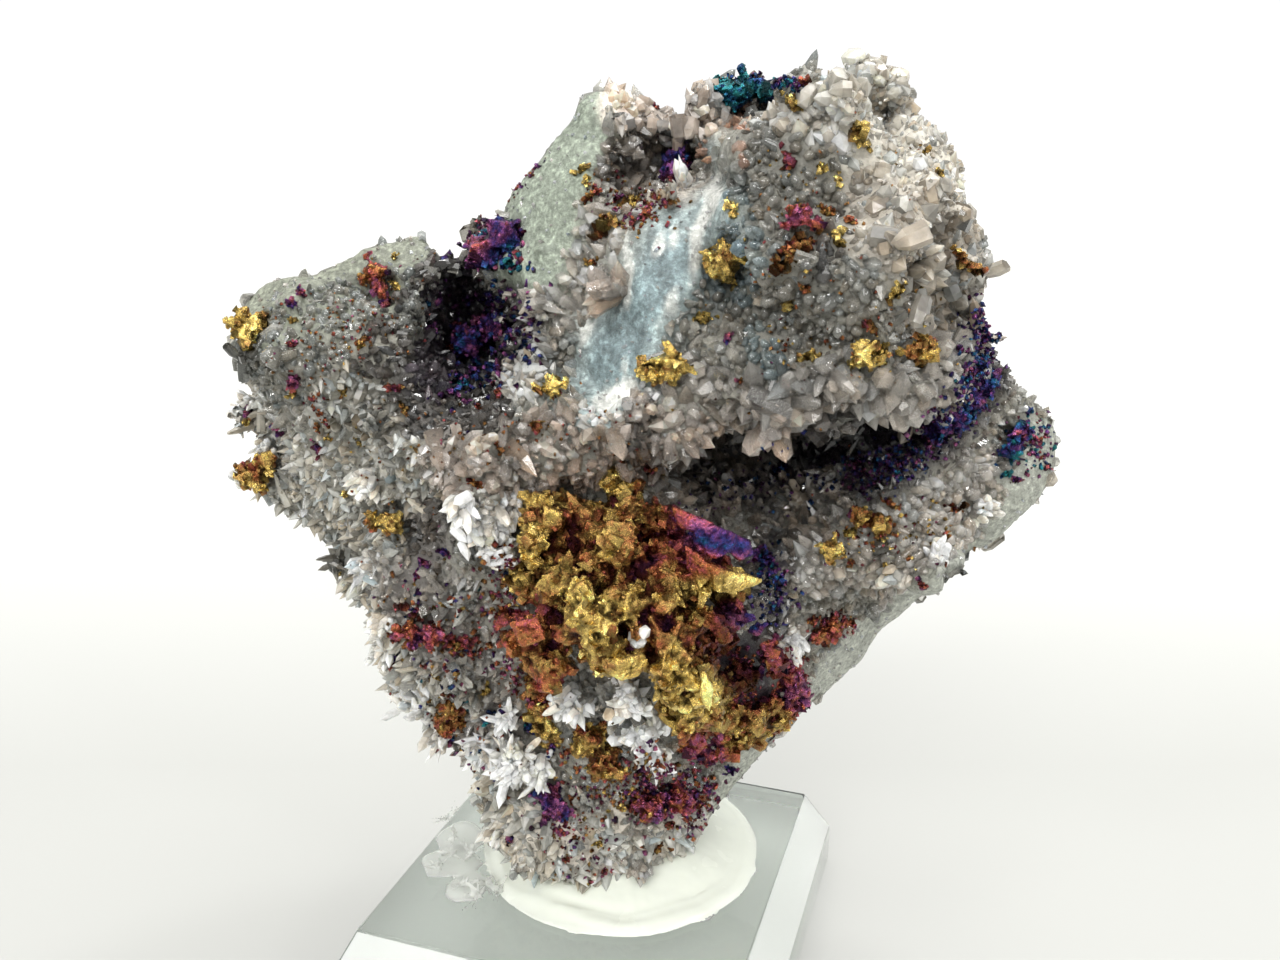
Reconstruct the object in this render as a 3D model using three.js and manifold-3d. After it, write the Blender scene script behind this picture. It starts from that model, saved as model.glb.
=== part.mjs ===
// Peacock ore: iridescent chalcopyrite on a plate of drusy quartz, standing on its narrow end in clear
// putty on a bevelled clear block. Millimetres, +Z up. The origin is the middle of the block's
// underside, and the face with the crystals looks toward -Y.

import * as THREE from "three";
import { ImprovedNoise } from "three/addons/math/ImprovedNoise.js";
import { mergeVertices } from "three/addons/utils/BufferGeometryUtils.js";
import Module from "manifold-3d";

// ---------------------------------------------------------------- driving dimensions

const BLOCK_SIDE = 50;
const BLOCK_HEIGHT = 12;
const BEVEL_RUN = 3.3;
const BEVEL_DROP = 6.6;
const BLOCK_TURN = THREE.MathUtils.degToRad(-18.5);

const PUTTY_CENTRE = [2.5, 1.5];
const PUTTY_RADIUS = 17.5;
const PUTTY_FLOOR = 0.9;
const PUTTY_RIM = 2.6;
const PUTTY_RIM_WIDTH = 3;
const PUTTY_SIDES = 20;
const PUTTY_ROUND = 0.8;

const GAP = 0.3;
const BLOCK_TOP = BLOCK_HEIGHT + GAP;
const FOOT_PLANE = BLOCK_TOP + PUTTY_FLOOR + GAP;

// The show face is laid out on an upright plane, as it is met by the eye from a point in front of it
// and above. A place is [across, up] on that plane, and a depth carries it along its line of sight.
const EYE = new THREE.Vector3(4.9, -121.7, 100.6);
const LAYOUT_Y = -9;

// The outline of the quartz plate, from the right side over the top and round: across, up, depth.
const OUTLINE = [
  [47.7, 63.4, 4],
  [47.3, 69.6, 4],
  [41.2, 77.9, 2],
  [37.6, 84.1, 0],
  [38.0, 89.7, -1],
  [33.0, 97.5, 0],
  [28.0, 104.6, 0],
  [24.0, 103.4, 1],
  [13.9, 103.4, 3],
  [8.6, 101.6, 3],
  [3.0, 102.1, 2],
  [-0.9, 101.2, 1],
  [-7.8, 93.3, 0],
  [-13.6, 87.4, 0],
  [-16.8, 89.3, -1],
  [-21.8, 88.2, -2],
  [-27.1, 85.9, -3],
  [-33.1, 83.0, -3],
  [-35.9, 79.9, -3],
  [-33.8, 75.7, -3],
  [-37.9, 71.3, -3],
  [-34.8, 68.7, -3],
  [-37.4, 64.8, -3],
  [-33.0, 61.5, -3],
  [-28.6, 57.9, -3],
  [-26.8, 51.0, -3],
  [-23.6, 47.6, -4],
  [-23.7, 40.2, -5],
  [-20.0, 35.6, -5],
  [-14.2, 29.2, -5],
  [-14.4, 25.5, -5],
  [-12.7, 18.9, -3],
  [-3.5, 13.4, -8],
  [0.8, 13.4, -8],
  [10.5, 17.8, -4],
  [14.1, 25.3, -1],
  [21.3, 35.3, 2],
  [28.9, 42.9, 4],
  [30.7, 46.9, 5],
  [43.4, 57.5, 6],
];
const PLATE_CENTRE = [2.8, 64];
const OUTLINE_CALM = 0.045;
const CALM_STEPS = [-1, -0.5, 0, 0.5, 1];
const FRONT_RINGS = 6;
const BACK_RINGS = 4;
const FRONT_DEPTH = -12;
const BACK_DEPTH = 17;
const FRONT_SHOULDER = 5;
const BACK_SHOULDER = 6;
const RELIEF = { front: 1.1, back: 4, frontGrain: 7, backGrain: 13 };

const FRONT_GRAIN_SLICE = 0.5;
const BACK_GRAIN_SLICE = 2.6;

// Broad swells (+) and dips (-) of the plate's front: across, up, half-width, half-height, rise.
const SWELLS = [
  [-26, 78, 12, 9, 3],
  [-3, 71, 17, 6, 4],
  [9, 83, 6, 12, 3],
  [-14, 54, 13, 11, 3],
  [6, 50, 13, 14, 4],
  [-3, 22, 12, 10, -2],
  [-9, 90, 5, 5, -5],
  [42, 70, 6, 10, -4],
  [22, 33, 8, 8, -3],
];

// Masses of quartz that stand out from the plate: place, depth, half-sizes.
const MASSES = [
  { name: "upper right lobe", at: [22.9, 87.3, -8], half: [12.9, 15, 15.4], detail: 3 },
  { name: "summit", at: [26.4, 103.1, -4], half: [2.6, 4, 3.2], detail: 1 },
  { name: "brow over the right hollow", at: [24, 77, -13], half: [14, 11, 7], detail: 2 },
  { name: "left lobe", at: [-25.2, 77.7, -6], half: [10.4, 10, 8.3], detail: 2 },
  { name: "central band", at: [-8, 68.5, -11.5], half: [12.5, 9, 6.5], detail: 2 },
  { name: "foot of the cleavage", at: [6, 72.5, -13], half: [11, 8, 6], detail: 2 },
  { name: "lower left mass", at: [-14, 52, -7], half: [11, 10, 12], detail: 2 },
  { name: "shelf under the hollow", at: [31.6, 58.2, -4], half: [8.8, 10, 5.2], detail: 2 },
  { name: "seat of the ore", at: [5, 51, -11], half: [13, 9, 12], detail: 2 },
  { name: "foot", at: [-1.8, 25, -2], half: [12.5, 10, 13], detail: 2 },
  { name: "upper back", at: [9, 77, 12], half: [22, 9, 17], detail: 2 },
  { name: "left back", at: [-13, 65, 10], half: [18, 8, 13], detail: 2 },
];
const MASS_ROUGHNESS = 0.2;

// Hollows between the masses: place, depth, half-sizes.
const HOLLOWS = [
  { name: "left hollow", at: [-12.3, 79.6, -15], half: [6.6, 15, 7.5], detail: 2 },
  { name: "notch above it", at: [-9.6, 90.5, -14], half: [4.5, 11, 5], detail: 1 },
  { name: "right hollow", at: [19.2, 62.4, -14], half: [11, 19, 7.6], detail: 2 },
  { name: "its right arm", at: [33.5, 69.2, -15], half: [8.5, 13, 4.4], detail: 1 },
  { name: "upper hollow", at: [6.4, 96.4, -15], half: [7.4, 14, 5.4], detail: 2 },
];
const HOLLOW_ROUGHNESS = 0.22;

// The flat cleavage that trims the upper right lobe's left flank: a box with one face on it.
const CLEAVAGE = { at: [7.5, 84.5, -16.5], facing: [-0.6, -0.78, 0.2], size: [15, 26, 12] };
const CLEAVAGE_UP = [0.42, -0.1, 0.9];

// Flat breaks across the back, each by what it faces and how far it lies from the plate's middle.
const BREAKS = [
  { facing: [0.06, 0.97, -0.22], out: 18 },
  { facing: [-0.1, 0.9, 0.4], out: 25 },
  { facing: [-0.5, 0.85, 0.2], out: 22 },
  { facing: [0.45, 0.87, 0.1], out: 28 },
  { facing: [0.6, 0.6, -0.5], out: 33.5 },
  { facing: [-0.55, 0.65, -0.5], out: 33 },
];
const BREAK_SIZE = 160;

// ---------------------------------------------------------------- quartz crystals

// Clusters of crystals: place, spread, how many, radius, length, how far they fan out.
const CRYSTAL_CLUSTERS = [
  { name: "lobe", at: [25, 89], spread: [11, 11], count: 7, radius: 1.3, length: 5, fan: 0.4 },
  { name: "brow", at: [26, 74.5], spread: [12, 2], count: 9, radius: 1.6, length: 6.5, fan: 0.7 },
  { name: "lobe edge", at: [35.5, 88], spread: [2, 8], count: 4, radius: 1.6, length: 6, fan: 0.6 },
  { name: "summit", at: [26.5, 102], spread: [2.5, 2], count: 3, radius: 1.6, length: 5, fan: 0.6 },
  { name: "band", at: [-1, 69], spread: [15, 2.5], count: 8, radius: 1.4, length: 5.5, fan: 0.6 },
  { name: "pale tuft", at: [-12, 60.5], spread: [2.6, 3], count: 5, radius: 1.7, length: 7.5, fan: 0.8 },
  { name: "rosette", at: [3.4, 37], spread: [2.8, 2.2], count: 6, radius: 1.6, length: 7.5, fan: 0.9 },
  { name: "small rosette", at: [-2.3, 39], spread: [1.2, 1], count: 3, radius: 1.3, length: 6.5, fan: 0.9 },
  { name: "lower tuft", at: [-10, 31], spread: [3, 3], count: 4, radius: 1.4, length: 6.5, fan: 0.8 },
  { name: "upper hollow", at: [7, 98.5], spread: [5, 2.5], count: 4, radius: 1.4, length: 5, fan: 0.5 },
  { name: "left lobe", at: [-27, 76], spread: [8, 5], count: 4, radius: 1.2, length: 5, fan: 0.6 },
  { name: "left edge", at: [-34, 69], spread: [2.5, 4], count: 3, radius: 1.2, length: 5.5, fan: 0.8 },
  { name: "left flank", at: [-21, 54], spread: [6, 8], count: 4, radius: 1.2, length: 5.5, fan: 0.7 },
  { name: "shelf", at: [35, 58.5], spread: [8, 4], count: 5, radius: 1.3, length: 5, fan: 0.6 },
  { name: "hollow's sill", at: [21, 57.5], spread: [6, 2.5], count: 3, radius: 1.3, length: 5, fan: 0.5 },
  { name: "foot", at: [-2, 20], spread: [8, 4], count: 4, radius: 1.5, length: 4.5, fan: 0.6 },
  { name: "pale flank", at: [-5.5, 83], spread: [2.5, 6], count: 3, radius: 1.2, length: 5, fan: 0.6 },
];
const CRYSTAL_SIDES = 6;
const CRYSTAL_SHOULDER = 0.62;
const CRYSTAL_SUNK = 0.5;
const CRYSTAL_SIZE_RANGE = [0.75, 1.3];

// ---------------------------------------------------------------- chalcopyrite

// Each grown piece is a run of flat-faced lumps: across, up, size, how far its middle stands proud.
const MAIN_CLUSTER = [
  [0.8, 52.6, 6.4, 2.5],
  [-2.6, 57.6, 6.0, 2],
  [3.6, 59.6, 5.0, 2.5],
  [-5.2, 52.0, 4.6, 1.5],
  [-4.4, 47.2, 4.8, 1.5],
  [2.0, 46.4, 5.2, 3.5],
  [7.4, 53.2, 5.4, 2.5],
  [10.2, 58.0, 4.4, 2.5],
  [13.6, 54.8, 4.8, 4],
  [15.4, 50.4, 4.0, 3],
  [7.8, 47.2, 5.4, 2.5],
  [10.4, 41.6, 5.0, 3],
  [13.0, 36.8, 4.8, 2.5],
  [18.4, 38.0, 4.0, 1.5],
  [19.6, 43.4, 3.6, 1.5],
];
const CHALCOPYRITE_PIECES = {
  lower_cluster: { tint: "gold", lumps: [[-0.6, 33.6, 3.4], [1.4, 29.2, 3.4]] },
  left_column: { tint: "copper", lumps: [[-6.2, 40.6, 3], [-5.4, 36.8, 2.7]] },
  lower_right_cluster: { tint: "violet", lumps: [[6.6, 24.6, 3.2], [9.8, 26.4, 3]] },
  lower_left_knot: { tint: "violet", lumps: [[-4.3, 24.5, 2.7], [-6.2, 27, 2.2]] },
  corner_crystal: { tint: "copper", lumps: [[-16.7, 35.8, 3], [-15.8, 38.6, 2]] },
  left_tip_crystal: { tint: "gold", lumps: [[-34.7, 80.2, 2.7], [-33.4, 81.8, 2]] },
  left_knob: { tint: "gold", lumps: [[-35.4, 64.8, 3], [-33.8, 66.6, 2.2]] },
  left_fork: { tint: "gold", lumps: [[-21.4, 59.6, 2.5], [-23.8, 60.2, 1.9]] },
  left_streak: { tint: "copper", lumps: [[-20, 46.9, 2.3], [-16.4, 46.2, 2.3]] },
  upper_left_copper: { tint: "copper", lumps: [[-21.4, 85.6, 2.5], [-20.4, 83.2, 2]] },
  ridge_lump: { tint: "gold", lumps: [[12.6, 86.6, 3], [15, 88.8, 2.4]] },
  cleavage_lump: { tint: "gold", lumps: [[7.9, 76.6, 3], [5.8, 75.6, 2]] },
  band_lump: { tint: "gold", lumps: [[-3.9, 74.5, 1.9], [-3.7, 76.4, 1.3]] },
  upper_hollow_crystal: { tint: "violet", lumps: [[8.5, 96.3, 2.8], [7.4, 94.3, 2]] },
  top_crust: { tint: "violet", lumps: [[14.4, 102.6, 2.8], [18, 102.8, 2.8]] },
  notch_crust: { tint: "violet", lumps: [[-10.4, 87.8, 3], [-7.6, 90.2, 2.8]] },
  red_grains: { tint: "copper", lumps: [[20.1, 91.3, 2.2], [22, 90.4, 1.7]] },
  brow_grain_left: { tint: "gold", lumps: [[27.3, 77.8, 2.4], [29.1, 77, 1.7]] },
  brow_grain_right: { tint: "copper", lumps: [[33.4, 78, 2.4]] },
  left_hollow_crust: { tint: "violet", lumps: [[-10.4, 80.6, 3.2], [-13, 78.6, 3.2]] },
  right_arm_crust: {
    tint: "violet",
    lumps: [[39.8, 74.8, 3], [38, 70.4, 3], [34.4, 68, 3], [31, 67, 2.8]],
  },
  right_edge_crust: { tint: "violet", lumps: [[44, 69.6, 2.6], [43, 66.6, 2.5]] },
  shelf_crystal: { tint: "gold", lumps: [[25.2, 56.6, 2.6]] },
  shelf_cluster: { tint: "copper", lumps: [[28, 60.4, 2.3], [30.4, 59.2, 2.3]] },
  lower_right_patch: { tint: "copper", lumps: [[26, 47.6, 2.5], [23.6, 46, 2.3]] },
};

// Pieces on the plate's back, which is broken rock with a few grains.
const BACK_PIECES = {
  back_upper_cluster: { tint: "gold", lumps: [[12, 84, 3.2], [9, 82, 2.7]] },
  back_left_cluster: { tint: "copper", lumps: [[-17, 71, 2.8], [-14.4, 72.6, 2.2]] },
  back_lower_cluster: { tint: "violet", lumps: [[4, 52, 3], [6.6, 50.4, 2.5]] },
};
const BACK_CRYSTALS = [
  { name: "back, upper left", at: [-6, 86], spread: [5, 4], count: 3, radius: 1.6, length: 6, fan: 0.7 },
  { name: "back, right", at: [26, 68], spread: [6, 6], count: 3, radius: 1.6, length: 6, fan: 0.7 },
];

// ---------------------------------------------------------------- colours

const COLOURS = {
  quartz: { color: 0xb9bdb9, roughness: 0.45, metalness: 0 },
  gold: { color: 0xa8801f, roughness: 0.35, metalness: 0.9 },
  copper: { color: 0x8f4a26, roughness: 0.38, metalness: 0.9 },
  violet: { color: 0x43276e, roughness: 0.35, metalness: 0.9 },
  acrylic: { color: 0xeef4f3, roughness: 0.05, metalness: 0 },
  putty: { color: 0xdfe8e4, roughness: 0.2, metalness: 0 },
};

// ---------------------------------------------------------------- solids

const wasm = await Module();
wasm.setup();
const noise = new ImprovedNoise();
const random = THREE.MathUtils.seededRandom;
const MERGE_DISTANCE = 2e-3;

// The point at a depth on the line of sight through a place of the layout plane.
function inSight([across, up], depth) {
  const place = new THREE.Vector3(across, LAYOUT_Y, up);
  const reach = (depth - EYE.y) / (LAYOUT_Y - EYE.y);
  return place.sub(EYE).multiplyScalar(reach).add(EYE);
}

// The corners of a geometry without their normals and texture places, shared where they meet.
function welded(geometry) {
  const bare = new THREE.BufferGeometry();
  bare.setAttribute("position", geometry.getAttribute("position"));
  bare.setIndex(geometry.index);
  return mergeVertices(bare, MERGE_DISTANCE);
}

// A closed geometry as a solid that faces out.
function solid(geometry) {
  const shape = welded(geometry);
  const corners = Array.from(shape.index.array);
  const triangles = [];
  for (let i = 0; i < corners.length; i += 3) {
    const [a, b, c] = corners.slice(i, i + 3);
    if (a !== b && b !== c && c !== a) triangles.push([a, b, c]);
  }
  const build = (order) =>
    new wasm.Manifold(
      new wasm.Mesh({
        numProp: 3,
        vertProperties: shape.getAttribute("position").array,
        triVerts: new Uint32Array(triangles.flatMap(order)),
      }),
    );
  const made = build((t) => t);
  return made.volume() < 0 ? build(([a, b, c]) => [a, c, b]) : made;
}

// A solid back as a geometry.
function geometryOf(made) {
  const mesh = made.getMesh();
  const geometry = new THREE.BufferGeometry();
  geometry.setAttribute("position", new THREE.BufferAttribute(mesh.vertProperties, mesh.numProp));
  geometry.setIndex(new THREE.BufferAttribute(mesh.triVerts, 1));
  return geometry;
}

const joined = (solids) => solids.reduce((sum, next) => sum.add(next));

// The largest of the pieces that cutting may have parted.
function largest(made) {
  return made.decompose().reduce((best, next) => (next.volume() > best.volume() ? next : best));
}

// Moves every corner of a geometry by a rule.
function reshape(geometry, rule) {
  const places = geometry.getAttribute("position");
  const point = new THREE.Vector3();
  for (let i = 0; i < places.count; i++) {
    point.fromBufferAttribute(places, i);
    places.setXYZ(i, ...rule(point).toArray());
  }
  return geometry;
}

function colourOf(tint) {
  return new THREE.MeshStandardMaterial(COLOURS[tint]);
}

function named(name, made, tint) {
  const mesh = new THREE.Mesh(geometryOf(made), colourOf(tint));
  mesh.name = name;
  return mesh;
}

// ---------------------------------------------------------------- the block and its putty

const QUARTER_TURN = Math.PI / 2;

// A square block turned from a four-sided lathe, with a wide bevel from its top to its sides.
function acrylicBlock() {
  const halfDiagonal = (BLOCK_SIDE / 2) * Math.SQRT2;
  const profile = [
    [0, 0],
    [halfDiagonal, 0],
    [halfDiagonal, BLOCK_HEIGHT - BEVEL_DROP],
    [halfDiagonal - BEVEL_RUN * Math.SQRT2, BLOCK_HEIGHT],
    [0, BLOCK_HEIGHT],
  ].map(([out, up]) => new THREE.Vector2(out, up));
  const block = new THREE.LatheGeometry(profile, 4).rotateX(QUARTER_TURN);
  return solid(block.rotateZ(BLOCK_TURN + QUARTER_TURN / 2));
}

const PUTTY_STRINGS = [
  { at: [-18, 2, 14.2], half: [3, 3.6, 2.2] },
  { at: [-18.6, -2.5, 13.4], half: [3.8, 2.8, 1.6] },
  { at: [-15.8, -7, 13.2], half: [2.8, 2.8, 1.6] },
];
const PUTTY_OPEN_SIDE = [-11, -2];
const PUTTY_RAGGED = 0.06;
const PUTTY_RAGGED_GRAIN = 0.25;

// A disc of putty with a rolled rim, flat on its left, where ragged strings lie from its tearing off.
function putty() {
  const top = BLOCK_TOP + PUTTY_RIM;
  const floor = BLOCK_TOP + PUTTY_FLOOR;
  const profile = [
    [0, BLOCK_TOP],
    [PUTTY_RADIUS - PUTTY_ROUND, BLOCK_TOP],
    [PUTTY_RADIUS, BLOCK_TOP + PUTTY_ROUND],
    [PUTTY_RADIUS - PUTTY_ROUND, top - PUTTY_ROUND / 2],
    [PUTTY_RADIUS - PUTTY_RIM_WIDTH / 2, top],
    [PUTTY_RADIUS - PUTTY_RIM_WIDTH, floor],
    [0, floor],
  ].map(([out, up]) => new THREE.Vector2(out, up));
  const disc = new THREE.LatheGeometry(profile, PUTTY_SIDES).rotateX(QUARTER_TURN);
  reshape(disc, (p) => {
    const swell = 1 + PUTTY_RAGGED * noise.noise(p.x * PUTTY_RAGGED_GRAIN, p.y * PUTTY_RAGGED_GRAIN, 0);
    const rim = Math.max(0, p.z - floor) * THREE.MathUtils.smoothstep(p.x, ...PUTTY_OPEN_SIDE);
    const height = Math.min(p.z, floor) + rim;
    return p.set(p.x * swell + PUTTY_CENTRE[0], p.y * swell + PUTTY_CENTRE[1], height);
  });
  const strings = PUTTY_STRINGS.map(({ at, half }, seed) => boulder(at, half, 1, MASS_ROUGHNESS, seed));
  return largest(joined([solid(disc), ...strings]).subtract(below(BLOCK_TOP)));
}

// ---------------------------------------------------------------- the quartz

const BOULDER_GRAIN = 1.6;

// A faceted ball pushed in and out by noise and stretched to its half-sizes.
function boulder(at, half, detail, roughness, seed) {
  const ball = welded(new THREE.IcosahedronGeometry(1, detail));
  const shift = new THREE.Vector3(seed, seed * 2, -seed);
  reshape(ball, (p) => {
    const place = p.clone().multiplyScalar(BOULDER_GRAIN).add(shift);
    return p.multiplyScalar(1 + roughness * 2 * noise.noise(...place.toArray()));
  });
  return solid(ball.scale(...half).translate(...at));
}

function inSightBoulder({ at, half, detail }, roughness, seed) {
  return boulder(inSight(at, at[2]).toArray(), half, detail, roughness, seed);
}

// How far the front of the plate stands at a place of the layout plane.
function frontDepth(across, up) {
  const rise = ([u, w, wide, high, much]) =>
    much * Math.exp(-(((across - u) / wide) ** 2) - ((up - w) / high) ** 2);
  const swell = SWELLS.reduce((sum, row) => sum + rise(row), 0);
  const grain = RELIEF.frontGrain;
  const bump = RELIEF.front * 2 * noise.noise(across / grain, up / grain, FRONT_GRAIN_SLICE);
  return FRONT_DEPTH - swell + bump;
}

function backDepth(across, up) {
  const grain = RELIEF.backGrain;
  return BACK_DEPTH + RELIEF.back * 2 * noise.noise(across / grain, up / grain, BACK_GRAIN_SLICE);
}

// The outline's mean over a stretch to each side of a turn, so that its notches fade inward.
function calmed(outline, turn, stretch) {
  const sum = new THREE.Vector3();
  const taken = CALM_STEPS.map((step) => outline.getPoint((turn + step * stretch + 1) % 1));
  return taken.reduce((total, point) => total.add(point), sum).divideScalar(taken.length);
}

// The plate: a ball whose equator is the outline and whose poles lie in the front and back faces.
function plate() {
  const points = OUTLINE.map(([across, up, depth]) => new THREE.Vector3(across, depth, up));
  const outline = new THREE.CatmullRomCurve3(points, true);
  const rings = FRONT_RINGS + BACK_RINGS;
  const around = OUTLINE.length;
  const ball = new THREE.SphereGeometry(1, around, rings);
  return solid(
    reshape(ball, (p) => {
      const turn = (Math.atan2(p.z, p.x) / (2 * Math.PI) + 1) % 1;
      const ring = Math.round((Math.acos(-p.y) / Math.PI) * rings);
      const front = ring < FRONT_RINGS;
      const inward = front ? 1 - ring / FRONT_RINGS : (ring - FRONT_RINGS) / BACK_RINGS;
      const edge = calmed(outline, turn, inward * OUTLINE_CALM);
      const across = THREE.MathUtils.lerp(edge.x, PLATE_CENTRE[0], inward);
      const up = THREE.MathUtils.lerp(edge.z, PLATE_CENTRE[1], inward);
      const face = front ? frontDepth(across, up) : backDepth(across, up);
      const shoulder = 1 - (1 - inward) ** (front ? FRONT_SHOULDER : BACK_SHOULDER);
      return inSight([across, up], THREE.MathUtils.lerp(edge.y, face, shoulder));
    }),
  );
}

const FORWARD = new THREE.Vector3(0, 0, 1);

function cleavageCut() {
  const facing = new THREE.Vector3(...CLEAVAGE.facing).normalize();
  const along = new THREE.Vector3(...CLEAVAGE_UP).normalize();
  const acrossIt = new THREE.Vector3().crossVectors(along, facing).normalize();
  const squared = new THREE.Vector3().crossVectors(facing, acrossIt);
  const [wide, long, deep] = CLEAVAGE.size;
  const box = new THREE.BoxGeometry(wide, long, deep).translate(0, 0, deep / 2);
  box.applyMatrix4(new THREE.Matrix4().makeBasis(acrossIt, squared, facing));
  return solid(box.translate(...inSight(CLEAVAGE.at, CLEAVAGE.at[2]).toArray()));
}

// Slabs that break the back away along flat faces.
function breaks() {
  const middle = new THREE.Vector3(PLATE_CENTRE[0], 0, PLATE_CENTRE[1]);
  return BREAKS.map(({ facing, out }) => {
    const normal = new THREE.Vector3(...facing).normalize();
    const slab = new THREE.BoxGeometry(BREAK_SIZE, BREAK_SIZE, BREAK_SIZE);
    slab.translate(0, 0, BREAK_SIZE / 2 + out);
    slab.applyQuaternion(new THREE.Quaternion().setFromUnitVectors(FORWARD, normal));
    return solid(slab.translate(...middle.toArray()));
  });
}

// Everything below a level.
function below(level) {
  const wide = 4 * BLOCK_SIDE;
  return solid(new THREE.BoxGeometry(wide, wide, wide).translate(0, 0, level - wide / 2));
}

function bareRock() {
  const masses = MASSES.map((mass, i) => inSightBoulder(mass, MASS_ROUGHNESS, i));
  const hollows = HOLLOWS.map((hollow, i) => inSightBoulder(hollow, HOLLOW_ROUGHNESS, MASSES.length + i));
  const body = joined([plate(), ...masses]);
  return largest(body.subtract(joined([...hollows, ...breaks(), cleavageCut(), below(FOOT_PLANE)])));
}

const rock = bareRock();
const rockFace = new THREE.Mesh(geometryOf(rock), new THREE.MeshBasicMaterial({ side: THREE.DoubleSide }));
const sightRay = new THREE.Raycaster();

// Where a line of sight meets the rock: its first meeting on the front, its last on the back.
function onRock(place, back) {
  const aim = inSight(place, 0).sub(EYE).normalize();
  sightRay.set(EYE, aim);
  const meetings = sightRay.intersectObject(rockFace);
  const meeting = back ? meetings.at(-1) : meetings[0];
  return meeting && { point: meeting.point, out: meeting.face.normal, aim };
}

// A six-sided crystal that widens along +Y from its sunken end to a shoulder, with a pointed top.
function crystal(radius, length) {
  const profile = [
    [0, 0],
    [radius, length * CRYSTAL_SHOULDER],
    [0, length],
  ].map(([out, up]) => new THREE.Vector2(out, up));
  return new THREE.LatheGeometry(profile, CRYSTAL_SIDES);
}

const oreLumps = [];
const jitter = () => random() * 2 - 1;
const UP = new THREE.Vector3(0, 1, 0);

// Crystals over an oval of the rock, leaning out from its middle, and none where ore takes the place.
function crystalCluster({ at, spread, count, radius, length, fan }, back) {
  const grown = [];
  for (let i = 0; i < count; i++) {
    const offset = [jitter(), jitter()];
    const met = onRock([at[0] + offset[0] * spread[0], at[1] + offset[1] * spread[1]], back);
    const size = THREE.MathUtils.lerp(...CRYSTAL_SIZE_RANGE, random());
    const lean = new THREE.Vector3(offset[0] + jitter() / 2, 0, offset[1] + jitter() / 2);
    if (!met || oreLumps.some(({ centre, size }) => centre.distanceTo(met.point) < size + radius)) continue;
    const axis = met.out.clone().addScaledVector(lean, fan).normalize();
    const shape = crystal(radius * size, length * size).translate(0, -length * size * CRYSTAL_SUNK, 0);
    shape.applyQuaternion(new THREE.Quaternion().setFromUnitVectors(UP, axis));
    grown.push(solid(shape.translate(...met.point.toArray())));
  }
  return grown;
}

// ---------------------------------------------------------------- the chalcopyrite

const LUMP_FORMS = [
  { make: (size) => new THREE.OctahedronGeometry(size), inner: 0.577 },
  { make: (size) => new THREE.IcosahedronGeometry(size), inner: 0.795 },
];
const BLUNT_FROM = 5;
const LUMP_SQUASH = 0.8;
const LUMP_PROUD = 0.2;
const LUMP_REACH = 0.5;

// Where the lumps of one piece lie: each on the rock, and drawn against the nearest one before it.
function lumpCentres(lumps, back) {
  const centres = [];
  lumps.forEach(([across, up, size, proud = size * LUMP_PROUD], i) => {
    const met = onRock([across, up], back);
    if (!met) throw new Error("no rock under the lump at " + [across, up]);
    const centre = met.point.addScaledVector(met.aim, back ? proud : -proud);
    const from = (j) => centre.distanceTo(centres[j]);
    const nearest = [...centres.keys()].sort((a, b) => from(a) - from(b))[0];
    if (i > 0) {
      const most = (size + lumps[nearest][2]) * LUMP_REACH;
      const apart = centre.clone().sub(centres[nearest]).clampLength(0, most);
      centre.copy(centres[nearest]).add(apart);
    }
    centres.push(centre);
  });
  return centres;
}

// One lump, and the pocket that clears each of its faces by the gap.
function lump(size, centre, { make, inner }) {
  const turn = new THREE.Euler(random() * Math.PI, random() * Math.PI, random() * Math.PI);
  const squash = new THREE.Vector3(1, THREE.MathUtils.lerp(LUMP_SQUASH, 1, random()), LUMP_SQUASH);
  const placing = new THREE.Matrix4().compose(centre, new THREE.Quaternion().setFromEuler(turn), squash);
  const grow = 1 + GAP / (size * inner * LUMP_SQUASH);
  const place = (scale) => solid(make(size * scale).applyMatrix4(placing));
  return { body: place(1), pocket: place(grow) };
}

function chalcopyrite(name, { tint, lumps }, back = false) {
  const centres = lumpCentres(lumps, back);
  const form = (size) => LUMP_FORMS[size > BLUNT_FROM ? 1 : 0];
  const grown = lumps.map(([, , size], i) => lump(size, centres[i], form(size)));
  lumps.forEach(([, , size], i) => oreLumps.push({ centre: centres[i], size }));
  const body = joined(grown.map((one) => one.body));
  return { name, tint, body: largest(body), pocket: joined(grown.map((one) => one.pocket)) };
}

// ---------------------------------------------------------------- the whole

const ORE_SEED = 11;
const CRYSTAL_SEED = 5;

random(ORE_SEED);
const ores = [
  chalcopyrite("chalcopyrite_main_cluster", { tint: "gold", lumps: MAIN_CLUSTER }),
  ...Object.entries(CHALCOPYRITE_PIECES).map(([name, piece]) => chalcopyrite(name, piece)),
  ...Object.entries(BACK_PIECES).map(([name, piece]) => chalcopyrite(name, piece, true)),
];
random(CRYSTAL_SEED);
const crystals = [
  ...CRYSTAL_CLUSTERS.flatMap((cluster) => crystalCluster(cluster, false)),
  ...BACK_CRYSTALS.flatMap((cluster) => crystalCluster(cluster, true)),
];
const pockets = joined([...ores.map((ore) => ore.pocket), below(FOOT_PLANE)]);
const drusy = joined([rock, ...crystals]);
const quartz = largest(drusy.subtract(pockets));

const peacockOre = new THREE.Group();
peacockOre.add(named("acrylic_base", acrylicBlock(), "acrylic"));
peacockOre.add(named("mounting_putty", putty(), "putty"));
peacockOre.add(named("quartz_matrix", quartz, "quartz"));
ores.forEach(({ name, body, tint }) => peacockOre.add(named(name, body, tint)));

export default peacockOre;
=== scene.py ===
# Peacock ore: tarnished chalcopyrite on a plate of drusy quartz, set on its narrow end in clear putty on a
# bevelled clear block. Metres, +Z up, the show face toward -Y.

import math

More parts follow.
